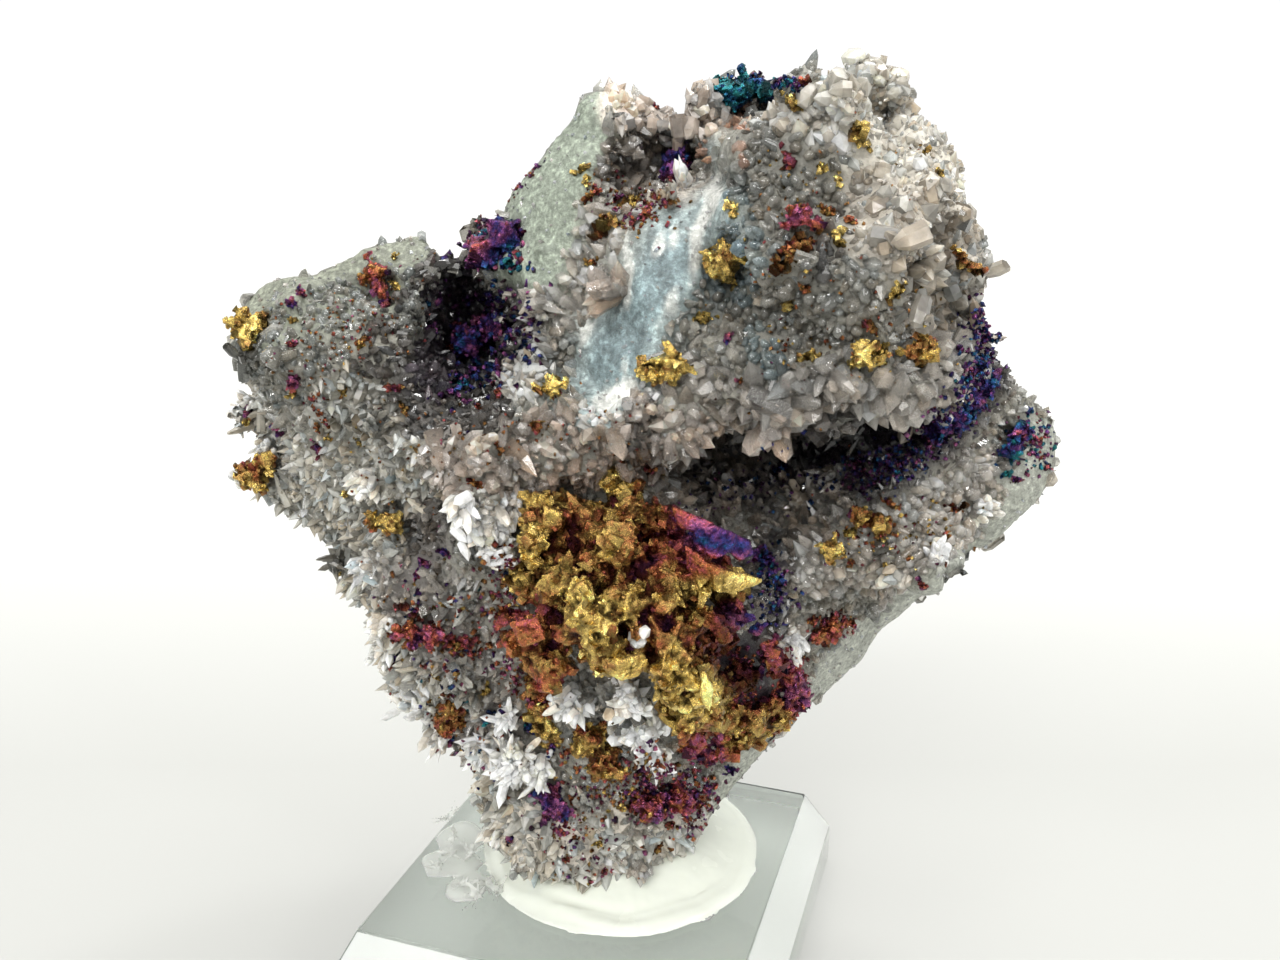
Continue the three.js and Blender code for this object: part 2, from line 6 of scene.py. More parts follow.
import bpy
import numpy as np
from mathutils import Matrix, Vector, noise
from mathutils.bvhtree import BVHTree
from mathutils.kdtree import KDTree


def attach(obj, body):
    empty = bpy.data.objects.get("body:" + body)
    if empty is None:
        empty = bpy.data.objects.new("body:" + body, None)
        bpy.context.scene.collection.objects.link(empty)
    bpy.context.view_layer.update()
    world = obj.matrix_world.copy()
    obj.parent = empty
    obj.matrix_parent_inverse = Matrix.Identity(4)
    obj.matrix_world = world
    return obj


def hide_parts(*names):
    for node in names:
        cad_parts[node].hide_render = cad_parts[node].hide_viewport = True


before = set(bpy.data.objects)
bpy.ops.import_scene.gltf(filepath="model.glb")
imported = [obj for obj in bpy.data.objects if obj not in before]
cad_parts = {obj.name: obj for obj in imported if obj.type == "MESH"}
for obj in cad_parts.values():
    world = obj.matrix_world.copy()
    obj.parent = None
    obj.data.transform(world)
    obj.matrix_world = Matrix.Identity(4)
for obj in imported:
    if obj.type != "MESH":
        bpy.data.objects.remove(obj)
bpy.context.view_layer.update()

MM = 0.001

# ---------------------------------------------------------------- the camera
# It stands in front of the show face and a little above it, level from side to side. Places on that face
# are named by where they stand in its frame of 1280 by 960, and are carried along their lines of sight to
# what they lie on.
EYE = Vector((4.9, -121.7, 100.6)) * MM
LOOK_DOWN = math.radians(17.8)
FRAME_WIDE, FRAME_HIGH = 1280, 960
FOCAL = 1137
FILM_WIDE = 36

bpy.ops.object.camera_add(location=EYE, rotation=(math.pi / 2 - LOOK_DOWN, 0, 0))
camera = bpy.context.object
camera.name = "camera"
camera.data.sensor_width = FILM_WIDE
camera.data.lens = FILM_WIDE * FOCAL / FRAME_WIDE
camera.data.clip_start = MM
bpy.context.scene.camera = camera

AHEAD = Vector((0, math.cos(LOOK_DOWN), -math.sin(LOOK_DOWN)))
OVERHEAD = Vector((0, math.sin(LOOK_DOWN), math.cos(LOOK_DOWN)))


def sight(px, py):
    """The direction from the eye through a place in the frame."""
    across, up = (px - FRAME_WIDE / 2) / FOCAL, (FRAME_HIGH / 2 - py) / FOCAL
    return (AHEAD + OVERHEAD * up + Vector((across, 0, 0))).normalized()


def seen_at(points):
    """Where each of many points stands in the frame."""
    from_eye = points - np.array(EYE)
    deep = from_eye @ np.array(AHEAD)
    across = FRAME_WIDE / 2 + FOCAL * from_eye[:, 0] / deep
    return np.stack([across, FRAME_HIGH / 2 - FOCAL * (from_eye @ np.array(OVERHEAD)) / deep], 1)


# ---------------------------------------------------------------- the display block
# One square block of cast acrylic, polished on every side, with a wide bevel from its top to its sides. It
# was sawn and flame-polished, so its edges are a fine round and its faces carry only hairline rubs.
ARRIS = 0.25 * MM
LEVEL, SLOPING = 0.9, 0.3               # how far up or down a face of it looks
BEVEL_AREA = 20 * MM ** 2


def select_only(piece):
    """Selects one piece and makes it the active one."""
    bpy.ops.object.select_all(action="DESELECT")
    piece.select_set(True)
    bpy.context.view_layer.objects.active = piece


def finish_with(piece, kind, **settings):
    """Adds a modifier to a piece and applies it."""
    select_only(piece)
    modifier = piece.modifiers.new(kind.lower(), kind)
    for name, value in settings.items():
        setattr(modifier, name, value)
    bpy.ops.object.modifier_apply(modifier=modifier.name)


def in_edit(piece, *steps):
    """Runs edit-mode steps on all of a piece."""
    select_only(piece)
    bpy.ops.object.mode_set(mode="EDIT")
    bpy.ops.mesh.select_all(action="SELECT")
    for step in steps:
        step()
    bpy.ops.object.mode_set(mode="OBJECT")


def copy_of(node, name):
    """A CAD node's shape as a piece of its own, its corners merged."""
    piece = bpy.data.objects.new(name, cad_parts[node].data.copy())
    bpy.context.collection.objects.link(piece)
    piece.data.materials.clear()
    for layer in [a.name for a in piece.data.color_attributes]:
        piece.data.color_attributes.remove(piece.data.color_attributes[layer])
    in_edit(piece, lambda: bpy.ops.mesh.customdata_custom_splitnormals_clear(),
            lambda: bpy.ops.mesh.remove_doubles(threshold=MM / 200),
            lambda: bpy.ops.mesh.normals_make_consistent(inside=False))
    return piece


def add_node(tree, kind, **settings):
    """A shader node with its settings."""
    node = tree.nodes.new(kind)
    for name, value in settings.items():
        setattr(node, name, value)
    return node


def wire(tree, start, end):
    tree.links.new(start, end)


def new_material(name, **sockets):
    """A material with a Principled shader, and its constant values on the shader's own sockets."""
    material = bpy.data.materials.new(name)
    material.use_nodes = True
    shader = material.node_tree.nodes["Principled BSDF"]
    for socket, value in sockets.items():
        shader.inputs[socket.replace("_", " ")].default_value = value
    return material, material.node_tree, shader


def spread(tree, value, low, high, start=0.3, end=0.7):
    """Carries a value from one range to another."""
    ranger = add_node(tree, "ShaderNodeMapRange")
    for socket, number in zip(("From Min", "From Max", "To Min", "To Max"), (start, end, low, high)):
        ranger.inputs[socket].default_value = number
    wire(tree, value, ranger.inputs["Value"])
    return ranger.outputs["Result"]


def new_group(name, inputs, outputs):
    """A node group with named inputs and outputs, and the nodes inside it that carry them."""
    group = bpy.data.node_groups.new(name, "ShaderNodeTree")
    for side, sockets in (("INPUT", inputs), ("OUTPUT", outputs)):
        for socket, kind in sockets.items():
            group.interface.new_socket(socket, in_out=side, socket_type="NodeSocket" + kind)
    return group, add_node(group, "NodeGroupInput"), add_node(group, "NodeGroupOutput")


# Nothing here is quite even: a noise on Object coordinates gives a relief, and a value from low to high.
UNEVEN, given, made = new_group(
    "uneven", dict.fromkeys(("Scale", "Detail", "Roughness", "Low", "High", "Start", "End"), "Float"),
    {"Value": "Float", "Relief": "Float"})
place = add_node(UNEVEN, "ShaderNodeTexCoord")
cloud = add_node(UNEVEN, "ShaderNodeTexNoise")
ranger = add_node(UNEVEN, "ShaderNodeMapRange")
wire(UNEVEN, place.outputs["Object"], cloud.inputs["Vector"])
for socket in ("Scale", "Detail", "Roughness"):
    wire(UNEVEN, given.outputs[socket], cloud.inputs[socket])
for socket, end in (("Start", "From Min"), ("End", "From Max"), ("Low", "To Min"), ("High", "To Max")):
    wire(UNEVEN, given.outputs[socket], ranger.inputs[end])
wire(UNEVEN, cloud.outputs["Fac"], ranger.inputs["Value"])
wire(UNEVEN, ranger.outputs["Result"], made.inputs["Value"])
wire(UNEVEN, cloud.outputs["Fac"], made.inputs["Relief"])


def uneven(tree, size, low=0.0, high=1.0, start=0.3, end=0.7, detail=3, roughness=0.55):
    """A value from low to high and a relief, both uneven, with lumps about a size across."""
    node = add_node(tree, "ShaderNodeGroup", node_tree=UNEVEN)
    settings = {"Scale": 1 / size, "Detail": detail, "Roughness": roughness,
                "Low": low, "High": high, "Start": start, "End": end}
    for socket, value in settings.items():
        node.inputs[socket].default_value = value
    return node.outputs["Value"], node.outputs["Relief"]


def bumped(tree, shader, height, depth):
    """Gives a shader a fine relief of a depth."""
    bump = add_node(tree, "ShaderNodeBump")
    bump.inputs["Distance"].default_value = depth
    wire(tree, height, bump.inputs["Height"])
    wire(tree, bump.outputs["Normal"], shader.inputs["Normal"])


block = copy_of("acrylic_base", "display_block")
in_edit(block, lambda: bpy.ops.mesh.dissolve_limited(angle_limit=math.radians(1)))
finish_with(block, "BEVEL", width=ARRIS, segments=2, limit_method="ANGLE", angle_limit=math.radians(20))
select_only(block)
bpy.ops.object.shade_smooth_by_angle(angle=math.radians(30))

acrylic, tree, shader = new_material(
    "clear acrylic", Base_Color=(0.955, 0.995, 0.955, 1), IOR=1.49, Transmission_Weight=1.0)
wire(tree, uneven(tree, 9 * MM, 0.0, 0.05, detail=6)[0], shader.inputs["Roughness"])
block.data.materials.append(acrylic)

# Its underside is rubbed dull from standing, and its bevels have kept a little of the saw's haze.
rubbed, _, _ = new_material("rubbed acrylic", Base_Color=(0.96, 1.0, 0.96, 1), IOR=1.49,
                            Transmission_Weight=0.5, Roughness=0.45)
hazed, _, _ = new_material("hazed acrylic", Base_Color=(0.98, 1.0, 0.98, 1), IOR=1.49,
                           Transmission_Weight=0.55, Roughness=0.03)
block.data.materials.append(rubbed)
block.data.materials.append(hazed)
for face in block.data.polygons:
    if face.normal.z < -LEVEL:
        face.material_index = 1
    elif SLOPING < face.normal.z < LEVEL and face.area > BEVEL_AREA:
        face.material_index = 2
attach(block, "root")
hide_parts("acrylic_base")

# ---------------------------------------------------------------- the quartz plate
# One plate of milky vein quartz, broken off its wall, with a smooth frosted cleavage, two deep hollows and
# a druse over its show face. The colour goes from frosted grey to white, blush and iron-stained pink.
ROCK_VOXEL = 0.6 * MM
SHOW_DEPTH = 12 * MM
DRUSE_SEAT = 1.1 * MM
EDGE_SWAY, PAINT_SWAY, SWAY_GRAIN = 10, 9, 4 * MM

# The colours of the quartz, by name. Some rows below lay ink or smoke as painted shade, where marked.
TINTS = {
    "ice": (0.38, 0.37, 0.32), "slate": (0.15, 0.20, 0.21), "milk": (0.95, 0.91, 0.83),
    "cream": (0.56, 0.51, 0.43), "ivory": (0.55, 0.50, 0.43), "blush": (0.58, 0.465, 0.38),
    "tan": (0.42, 0.30, 0.23), "taupe": (0.37, 0.315, 0.26), "rust": (0.55, 0.25, 0.15),
    "sage": (0.22, 0.25, 0.20), "pewter": (0.26, 0.25, 0.21), "smoke": (0.11, 0.10, 0.09),
    "ink": (0.018, 0.014, 0.018), "mist": (0.18, 0.175, 0.15), "chalk": (0.66, 0.67, 0.63),
    "field": (0.58, 0.57, 0.51), "olive": (0.17, 0.18, 0.14), "wall": (0.29, 0.30, 0.26),
    "crown": (0.59, 0.555, 0.48), "flank": (0.40, 0.365, 0.31), "pale slate": (0.23, 0.28, 0.28),
    "grey": (0.165, 0.17, 0.15), "fringe": (0.36, 0.325, 0.28), "pale blush": (0.80, 0.69, 0.60),
    "head": (0.80, 0.76, 0.68), "soot": (0.05, 0.045, 0.04),
}


def near_stroke(places, path, reach, firm=1):
    """How near each place is to a stroke through some points: 1 on it and 0 from its reach outward. The
    firmer it is, the wider the middle of it that counts as 1."""
    path = np.array(path, float)
    starts, ends = (path[:-1], path[1:]) if len(path) > 1 else (path, path)
    nearest = np.full(len(places), np.inf)
    for start, end in zip(starts, ends):
        along = end - start
        share = np.clip(((places - start) @ along) / max(along @ along, 1e-9), 0, 1)
        nearest = np.minimum(nearest, np.linalg.norm(places - start - share[:, None] * along, axis=1))
    return np.clip((1 - nearest / reach) * firm, 0, 1)


def mottle(points, grain, seed):
    """A smooth noise from -1 to 1 at each of many points."""
    shifted = points / grain + seed
    return np.array([noise.noise(p) for p in shifted.tolist()])


def wavy_sight(points, swing):
    """Where points stand in the frame, shaken a little so that what is drawn there has ragged edges."""
    shaken = [mottle(points, SWAY_GRAIN, 3), mottle(points, SWAY_GRAIN, 9)]
    return seen_at(points) + swing * np.column_stack(shaken)


def corners_of(piece):
    """The places of a piece's corners, and the normals there."""
    mesh = piece.data
    places, normals = np.empty(len(mesh.vertices) * 3), np.empty(len(mesh.vertices) * 3)
    mesh.vertices.foreach_get("co", places)
    mesh.vertices.foreach_get("normal", normals)
    return places.reshape(-1, 3), normals.reshape(-1, 3)


def on_show_side(points, normals):
    """Whether each point lies on the face that looks toward the eye."""
    toward = np.array(EYE) - points
    return ((toward * normals).sum(1) > -0.1 * np.linalg.norm(toward, axis=1)) & (points[:, 1] < SHOW_DEPTH)


def weigh(piece, name, weights):
    """Gives a piece's corners their weights in a vertex group, in tenths."""
    group = piece.vertex_groups.new(name=name)
    for level in range(1, 11):
        chosen = np.nonzero(np.round(weights * 10) == level)[0]
        if len(chosen):
            group.add(chosen.tolist(), level / 10, "REPLACE")


def paint(piece, name, colours, domain="POINT"):
    """Writes a colour for each corner of a piece, or for each corner of each face."""
    layer = piece.data.color_attributes.new(name, "FLOAT_COLOR", domain)
    layer.data.foreach_set("color", np.column_stack([colours, np.ones(len(colours))]).ravel())


def write_number(piece, name, values):
    """Writes a number for each corner of a piece."""
    layer = piece.data.attributes.new(name, "FLOAT", "POINT")
    layer.data.foreach_set("value", values.astype(np.float32))


def displaced(piece, basis, size, height, group="", depth=2):
    """Pushes a surface in and out by a solid texture."""
    texture = bpy.data.textures.new(piece.name + "_relief", "CLOUDS")
    texture.noise_basis = basis
    texture.noise_scale = size
    texture.noise_depth = depth
    finish_with(piece, "DISPLACE", texture=texture, strength=height, mid_level=0.5,
                texture_coords="LOCAL", vertex_group=group)


# Where the plate is smooth, from frosted cleavages to old breaks: course in the frame and reach.
SMOOTH_PLACES = [
    ("frosted cleavage", [(688, 215), (660, 265), (634, 315), (604, 375)], 54),
    ("wall of the upper hollow", [(585, 118), (548, 175), (532, 260)], 50),
    ("left lobe's back edge", [(238, 306), (330, 270), (420, 250)], 18),
    ("side of the plate", [(1052, 440), (1030, 510), (985, 565), (880, 640), (790, 735), (720, 830)], 40),
    ("ridge beside the cleavage", [(728, 140), (712, 190), (690, 270)], 20),
]
# Where the crystals are fused together up to their tips.
FUSED_PLACES = [
    ("crown", [(868, 80), (895, 125), (935, 195)], 56),
    ("right flank of the lobe", [(915, 215), (955, 250)], 44),
]
# What colours the rock: course in the frame, reach and tint. The rows marked below are painted shade.
ROCK_COLOURS = [
    ("frosted cleavage", [(728, 180), (690, 250), (640, 320), (600, 392)], 66, "pale slate"),
    ("middle of the cleavage", [(672, 255), (645, 300), (610, 360)], 30, "slate"),
    ("crest", [(730, 140), (712, 190), (695, 262)], 8, "chalk"),
    ("foot of the cleavage", [(632, 388), (600, 404)], 12, "chalk"),
    ("lower left", [(400, 600), (440, 650), (480, 720), (500, 790)], 56, "smoke"),
    ("wall of the upper hollow", [(585, 118), (548, 175), (532, 260)], 55, "sage"),
    ("iron stain", [(752, 92), (742, 118)], 24, "rust"),
    ("blush rim", [(620, 110), (700, 118)], 26, "pale blush"),
    ("left lobe", [(250, 320), (330, 290), (420, 260)], 60, "olive"),
    # Partly the dark ore crust that lines this hollow, partly painted shade.
    ("left hollow", [(440, 300), (470, 335), (430, 385)], 50, "ink"),
    ("under the hollow", [(440, 420), (478, 418)], 30, "smoke"),
    # Painted shade beside the tuft.
    ("shade beside the tuft", [(425, 510), (432, 545)], 28, "smoke"),
    # Painted shade beside the ore.
    ("beside the ore", [(768, 555), (772, 615)], 34, "ink"),
    # Partly the dark ore crust that lines this hollow, partly painted shade under the lobe's overhang.
    ("right hollow", [(720, 470), (800, 460), (880, 460)], 46, "ink"),
    ("right arm", [(860, 470), (940, 430), (985, 370), (990, 318)], 34, "ink"),
    ("floor of the upper hollow", [(640, 160), (680, 175)], 34, "taupe"),
    ("side of the plate", [(1052, 440), (985, 565), (880, 640), (790, 735), (720, 830)], 40, "wall"),
    ("foot", [(500, 800), (570, 860), (660, 850)], 60, "ivory"),
    # Painted shade in the hole in the ore.
    ("hole in the ore", [(738, 660), (748, 700)], 40, "ink"),
    ("lobe", [(880, 90), (930, 180)], 80, "crown"),
    ("flank", [(890, 220), (950, 240)], 70, "flank"),
    ("face of the lobe", [(760, 140), (790, 210), (815, 290)], 60, "mist"),
]

# Where the plate stands prouder or is worn back a little: course in the frame, reach, swell in mm.
SWELLS = [
    ("right edge", [(1000, 380), (1052, 440), (1030, 510), (1000, 545)], 30, 0.9),
    ("lower edge", [(930, 595), (890, 625), (865, 655)], 20, 0.5),
    ("crown's shoulder", [(903, 92), (920, 130), (935, 180)], 28, 0.9),
    ("right flank", [(972, 270), (984, 320)], 24, 0.9),
    ("left flank", [(230, 480), (300, 530), (345, 600)], 30, 0.9),
    ("lower left flank", [(380, 680), (420, 725), (460, 765)], 26, 0.3),
    ("left brow", [(370, 245), (410, 238)], 22, 0.3),
    ("notch", [(450, 250), (470, 240)], 18, 0.5),
    ("top rim", [(600, 110), (650, 100), (700, 95)], 26, 1.5),
    ("crown's left", [(815, 92), (850, 88)], 20, 0.8),
    ("low corner", [(960, 582), (978, 572)], 20, -0.9),
    ("under the top crust", [(725, 98), (760, 90), (800, 92)], 26, 1.7),
]
SMOOTH_FIRM, SWELL_FIRM, PAINT_FIRM = 2.5, 2, 2.2
ROUGH_LEAST, FUSED_SHARE = 0.1, 0.5

# The relief of its broken surface: pattern, size and height in mm, where, how many finer layers.
ROCK_RELIEF = [
    ("BLENDER_ORIGINAL", 9, 0.9, "rough", 3), ("VORONOI_F1", 3.2, 0.9, "rough", 2),
    ("VORONOI_CRACKLE", 1.5, 0.4, "rough", 1), ("BLENDER_ORIGINAL", 1.1, 0.3, "", 3),
]

rock = copy_of("quartz_matrix", "quartz_plate")
finish_with(rock, "REMESH", mode="VOXEL", voxel_size=ROCK_VOXEL)
finish_with(rock, "SMOOTH", factor=0.5, iterations=5)

points, normals = corners_of(rock)
shown = on_show_side(points, normals)
wavy = wavy_sight(points, EDGE_SWAY)
rough = np.ones(len(points))
for name, path, reach in SMOOTH_PLACES:
    rough = np.minimum(rough, 1 - near_stroke(wavy, path, reach, SMOOTH_FIRM) * shown)
weigh(rock, "rough", np.clip(rough, ROUGH_LEAST, 1))
for name, path, reach in FUSED_PLACES:
    rough = np.minimum(rough, 1 - FUSED_SHARE * near_stroke(wavy, path, reach, SMOOTH_FIRM) * shown)
weigh(rock, "druse", rough)
for pattern, size, height, where, layers in ROCK_RELIEF:
    displaced(rock, pattern, size * MM, height * MM, where, depth=layers)
finish_with(rock, "DISPLACE", strength=-DRUSE_SEAT, mid_level=0.0, vertex_group="druse")
points, _ = corners_of(rock)
for name, course, reach, swell in SWELLS:
    weigh(rock, name, near_stroke(seen_at(points), course, reach, SWELL_FIRM))
    finish_with(rock, "DISPLACE", strength=swell * MM, mid_level=0.0, vertex_group=name)

points, normals = corners_of(rock)
rock_tree = BVHTree.FromObject(rock, bpy.context.evaluated_depsgraph_get())

# How much light gets into a gap is felt for with rays from every few corners of the rock, and painted into
# the tints as shade.
OPEN_RAYS, OPEN_STEP, OPEN_NEAREST = 16, 6, 5
OPEN_START, OPEN_REACH = 0.4 * MM, 14 * MM


def openness(places, normals):
    """How much of the sky over each place is clear of rock within a short reach."""
    turn = math.pi * (3 - math.sqrt(5))
    rays = []
    for i in range(OPEN_RAYS):
        up = (i + 0.5) / OPEN_RAYS
        flat = math.sqrt(1 - up * up)
        rays.append(Vector((flat * math.cos(i * turn), flat * math.sin(i * turn), up)))
    clear = np.empty(len(places))
    for i, (place, normal) in enumerate(zip(places, normals)):
        normal = Vector(normal)
        turned = normal.to_track_quat("Z", "Y")
        start = Vector(place) + normal * OPEN_START
        hits = sum(rock_tree.ray_cast(start, turned @ ray, OPEN_REACH)[0] is not None for ray in rays)
        clear[i] = 1 - hits / OPEN_RAYS
    return clear


probes = points[::OPEN_STEP]
probe_open = openness(probes, normals[::OPEN_STEP])


def tree_of(places):
    """A tree that finds the nearest of some places."""
    found = KDTree(len(places))
    for i, place in enumerate(places):
        found.insert(place, i)
    found.balance()
    return found


probe_tree = tree_of(probes)


def open_at(places):
    """The openness at places, taken from the nearest corners where it was felt for."""
    near = [probe_tree.find_n(place, OPEN_NEAREST) for place in places.tolist()]
    return np.array([np.mean([probe_open[i] for _, i, _ in found]) for found in near])


# The cleavage is streaked along its length, and white where it is bruised.
CLEAVAGE_STREAK = np.array([1.0, 0.7, 0.35])
CLEAVAGE_CONTRAST, BRUISED = 1.1, 0.75
LIGHT_LET_IN = 1.35

shown = on_show_side(points, normals)
wavy = wavy_sight(points, PAINT_SWAY)
pale = np.clip(0.5 + mottle(points, 7 * MM, 21), 0, 1)[:, None]
colours = np.array(TINTS["mist"]) * (1 - pale) + np.array(TINTS["pewter"]) * pale
for name, path, reach, tint in ROCK_COLOURS:
    share = (near_stroke(wavy, path, reach, PAINT_FIRM) * shown)[:, None]
    colours = colours * (1 - share) + np.array(TINTS[tint]) * share
along = points * CLEAVAGE_STREAK
marked = near_stroke(wavy, *SMOOTH_PLACES[0][1:], firm=3) * shown
streaks = 0.5 * mottle(along, 1.6 * MM, 5) + 0.5 * mottle(along, 0.7 * MM, 8)
patches = np.clip(mottle(along, 1.5 * MM, 12) * 4 - 0.9, 0, 1) * marked
colours = colours * np.exp(CLEAVAGE_CONTRAST * streaks * marked)[:, None]
colours = colours + (np.array(TINTS["chalk"]) - colours) * (BRUISED * patches)[:, None]
# Painted shade: the rock's tint is darkened where the sky over it is shut in, in its gaps and hollows.
shade = np.clip(open_at(points) * LIGHT_LET_IN, 0.04, 1) ** 1.4
paint(rock, "tint", colours * shade[:, None])
frosted = np.max([near_stroke(wavy, path, reach, SMOOTH_FIRM) for _, path, reach in SMOOTH_PLACES], axis=0)
write_number(rock, "frost", frosted * shown)

# The blend of the painted sheen at a glance.
GLANCE = 0.35
FROST_GRAIN = 0.6 * MM
PALER_TIMES, PALEST = 2.4, (0.95, 0.94, 0.91)
MIX_FIRST, MIX_SECOND, MIX_OUT = 6, 7, 2        # the colour sockets of a Mix node


# Quartz is mottled and paler in the specks of its frost; where it is seen at a glance it is paler by a
# painted sheen.
QUARTZ_COLOUR, given, made = new_group(
    "quartz colour",
    {"Tint": "Color", **dict.fromkeys(("Mottle", "Frost", "Specks", "Glance"), "Float")},
    {"Colour": "Color"})
mottled = add_node(QUARTZ_COLOUR, "ShaderNodeVectorMath", operation="SCALE")
wire(QUARTZ_COLOUR, given.outputs["Tint"], mottled.inputs[0])
wire(QUARTZ_COLOUR, given.outputs["Mottle"], mottled.inputs["Scale"])
lighter = add_node(QUARTZ_COLOUR, "ShaderNodeVectorMath", operation="SCALE")
lighter.inputs["Scale"].default_value = PALER_TIMES
wire(QUARTZ_COLOUR, mottled.outputs["Vector"], lighter.inputs[0])
capped = add_node(QUARTZ_COLOUR, "ShaderNodeVectorMath", operation="MINIMUM")
capped.inputs[1].default_value = PALEST
wire(QUARTZ_COLOUR, lighter.outputs["Vector"], capped.inputs[0])
frost_and_sheen = add_node(QUARTZ_COLOUR, "ShaderNodeMath", operation="MULTIPLY_ADD")
for i, socket in enumerate(("Frost", "Specks", "Glance")):
    wire(QUARTZ_COLOUR, given.outputs[socket], frost_and_sheen.inputs[i])
pale = add_node(QUARTZ_COLOUR, "ShaderNodeMix", data_type="RGBA")
wire(QUARTZ_COLOUR, frost_and_sheen.outputs[0], pale.inputs["Factor"])
wire(QUARTZ_COLOUR, mottled.outputs["Vector"], pale.inputs[MIX_FIRST])
wire(QUARTZ_COLOUR, capped.outputs["Vector"], pale.inputs[MIX_SECOND])
wire(QUARTZ_COLOUR, pale.outputs[MIX_OUT], made.inputs["Colour"])


def quartz_material(name, clear, rough_low, rough_high, grain, relief, glance_sheen, soft=0.0):
    """Quartz in its painted tint, with a painted sheen where it is seen at a glance."""
    material, tree, shader = new_material(
        name, IOR=1.54, Transmission_Weight=clear, Subsurface_Weight=soft, Subsurface_Scale=1.5 * MM,
        Subsurface_Radius=(1, 0.95, 0.85))
    colour = add_node(tree, "ShaderNodeGroup", node_tree=QUARTZ_COLOUR)
    tint = add_node(tree, "ShaderNodeVertexColor", layer_name="tint")
    frost = add_node(tree, "ShaderNodeAttribute", attribute_name="frost")
    glance = add_node(tree, "ShaderNodeLayerWeight")
    glance.inputs["Blend"].default_value = GLANCE
    wire(tree, tint.outputs["Color"], colour.inputs["Tint"])
    wire(tree, uneven(tree, grain * 1.4, 0.66, 1.3, detail=4)[0], colour.inputs["Mottle"])
    wire(tree, frost.outputs["Fac"], colour.inputs["Frost"])
    specks = uneven(tree, FROST_GRAIN, 0, 0.75, 0.5, 0.66, detail=4, roughness=0.7)[0]
    wire(tree, specks, colour.inputs["Specks"])
    wire(tree, spread(tree, glance.outputs["Facing"], 0, glance_sheen, 0, 1), colour.inputs["Glance"])
    wire(tree, colour.outputs["Colour"], shader.inputs["Base Color"])
    rough, fine = uneven(tree, grain, rough_low, rough_high, detail=5, roughness=0.65)
    wire(tree, rough, shader.inputs["Roughness"])
    bumped(tree, shader, fine, grain * relief)
    return material


rock.data.materials.append(quartz_material("milky vein quartz", 0.0, 0.15, 0.5, 0.6 * MM, 0.5, 0.1))
select_only(rock)
bpy.ops.object.shade_smooth()
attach(rock, "root")
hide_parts("quartz_matrix")

MIDDLE = (FRAME_WIDE / 2, FRAME_HIGH / 2)
INWARD = 0.01


def seat(px, py):
    """The place and normal where a line of sight meets the rock, moved inward until it does."""
    place = None
    while place is None:
        place, normal, _, _ = rock_tree.ray_cast(EYE, sight(px, py))
        px, py = px + INWARD * (MIDDLE[0] - px), py + INWARD * (MIDDLE[1] - py)
    return place, normal


# ---------------------------------------------------------------- the main mass of chalcopyrite
# Brassy crystals grown on the quartz: wedges with stepped, hackly faces, tarnished by acid from gold through
# copper and magenta to violet, indigo and teal. This mass stands in the middle of the show face.
ORE_VOXEL = 0.21 * MM

# The tarnish runs from 0 to 1 through these colours, as its film thickens.
TARNISH = [
    (0.00, (0.94, 0.70, 0.25)), (0.07, (0.52, 0.38, 0.11)), (0.18, (0.33, 0.22, 0.07)),
    (0.28, (0.29, 0.145, 0.05)), (0.38, (0.28, 0.09, 0.04)), (0.48, (0.28, 0.065, 0.07)),
    (0.58, (0.26, 0.08, 0.16)), (0.70, (0.085, 0.03, 0.11)), (0.80, (0.032, 0.03, 0.13)),
    (0.90, (0.02, 0.075, 0.18)), (1.00, (0.025, 0.17, 0.18)),
]


def arrays_of(piece):
    """A modelled shape as its corners and its triangles."""
    mesh = piece.data
    mesh.calc_loop_triangles()
    corners = np.array([v.co for v in mesh.vertices])
    return corners, np.array([t.vertices for t in mesh.loop_triangles])


def mesh_of(name, corners, triangles):
    """One piece from many corners and triangles."""
    mesh = bpy.data.meshes.new(name)
    mesh.vertices.add(len(corners))
    mesh.loops.add(triangles.size)
    mesh.polygons.add(len(triangles))
    mesh.vertices.foreach_set("co", corners.ravel())
    mesh.polygons.foreach_set("loop_start", np.arange(len(triangles)) * 3)
    mesh.polygons.foreach_set("vertices", triangles.ravel())
    mesh.update(calc_edges=True)
    mesh.shade_flat()
    piece = bpy.data.objects.new(name, mesh)
    bpy.context.collection.objects.link(piece)
    return piece


def unit(vectors):
    """The directions of vectors, each one long."""
    return vectors / np.linalg.norm(vectors, axis=1, keepdims=True)


def frames_along(axes, spins):
    """For each axis, two directions square to it, turned by a spin."""
    helper = np.where(np.abs(axes[:, 2:3]) < 0.9, [[0.0, 0.0, 1.0]], [[1.0, 0.0, 0.0]])
    first = unit(np.cross(axes, helper))
    second = np.cross(axes, first)
    c, s = np.cos(spins)[:, None], np.sin(spins)[:, None]
    return first * c + second * s, second * c - first * s


def copies(shape, places, axes, spins, widths, depths, lengths, sunk):
    """Many copies of a shape that points along +Z, each at its place, along its axis and at its size."""
    corners, triangles = shape
    sunk = np.broadcast_to(sunk, len(places))[:, None, None]
    first, second = frames_along(axes, spins)
    across = corners[None, :, 0, None] * (first * widths[:, None])[:, None]
    across = across + corners[None, :, 1, None] * (second * depths[:, None])[:, None]
    along = (corners[None, :, 2, None] - sunk) * (axes * lengths[:, None])[:, None]
    placed = places[:, None] + across + along
    shifts = np.arange(len(places))[:, None, None] * len(corners)
    return placed.reshape(-1, 3), (triangles[None] + shifts).reshape(-1, 3)


def joined_copies(batches):
    """Several batches of corners and triangles as one."""
    shifts = np.cumsum([0] + [len(corners) for corners, _ in batches[:-1]])
    corners = np.concatenate([corners for corners, _ in batches])
    return corners, np.concatenate([triangles + shift for (_, triangles), shift in zip(batches, shifts)])


WEDGE_TALL, WEDGE_SUNK = 1.3, 0.45
ANY_TURN = 6.3


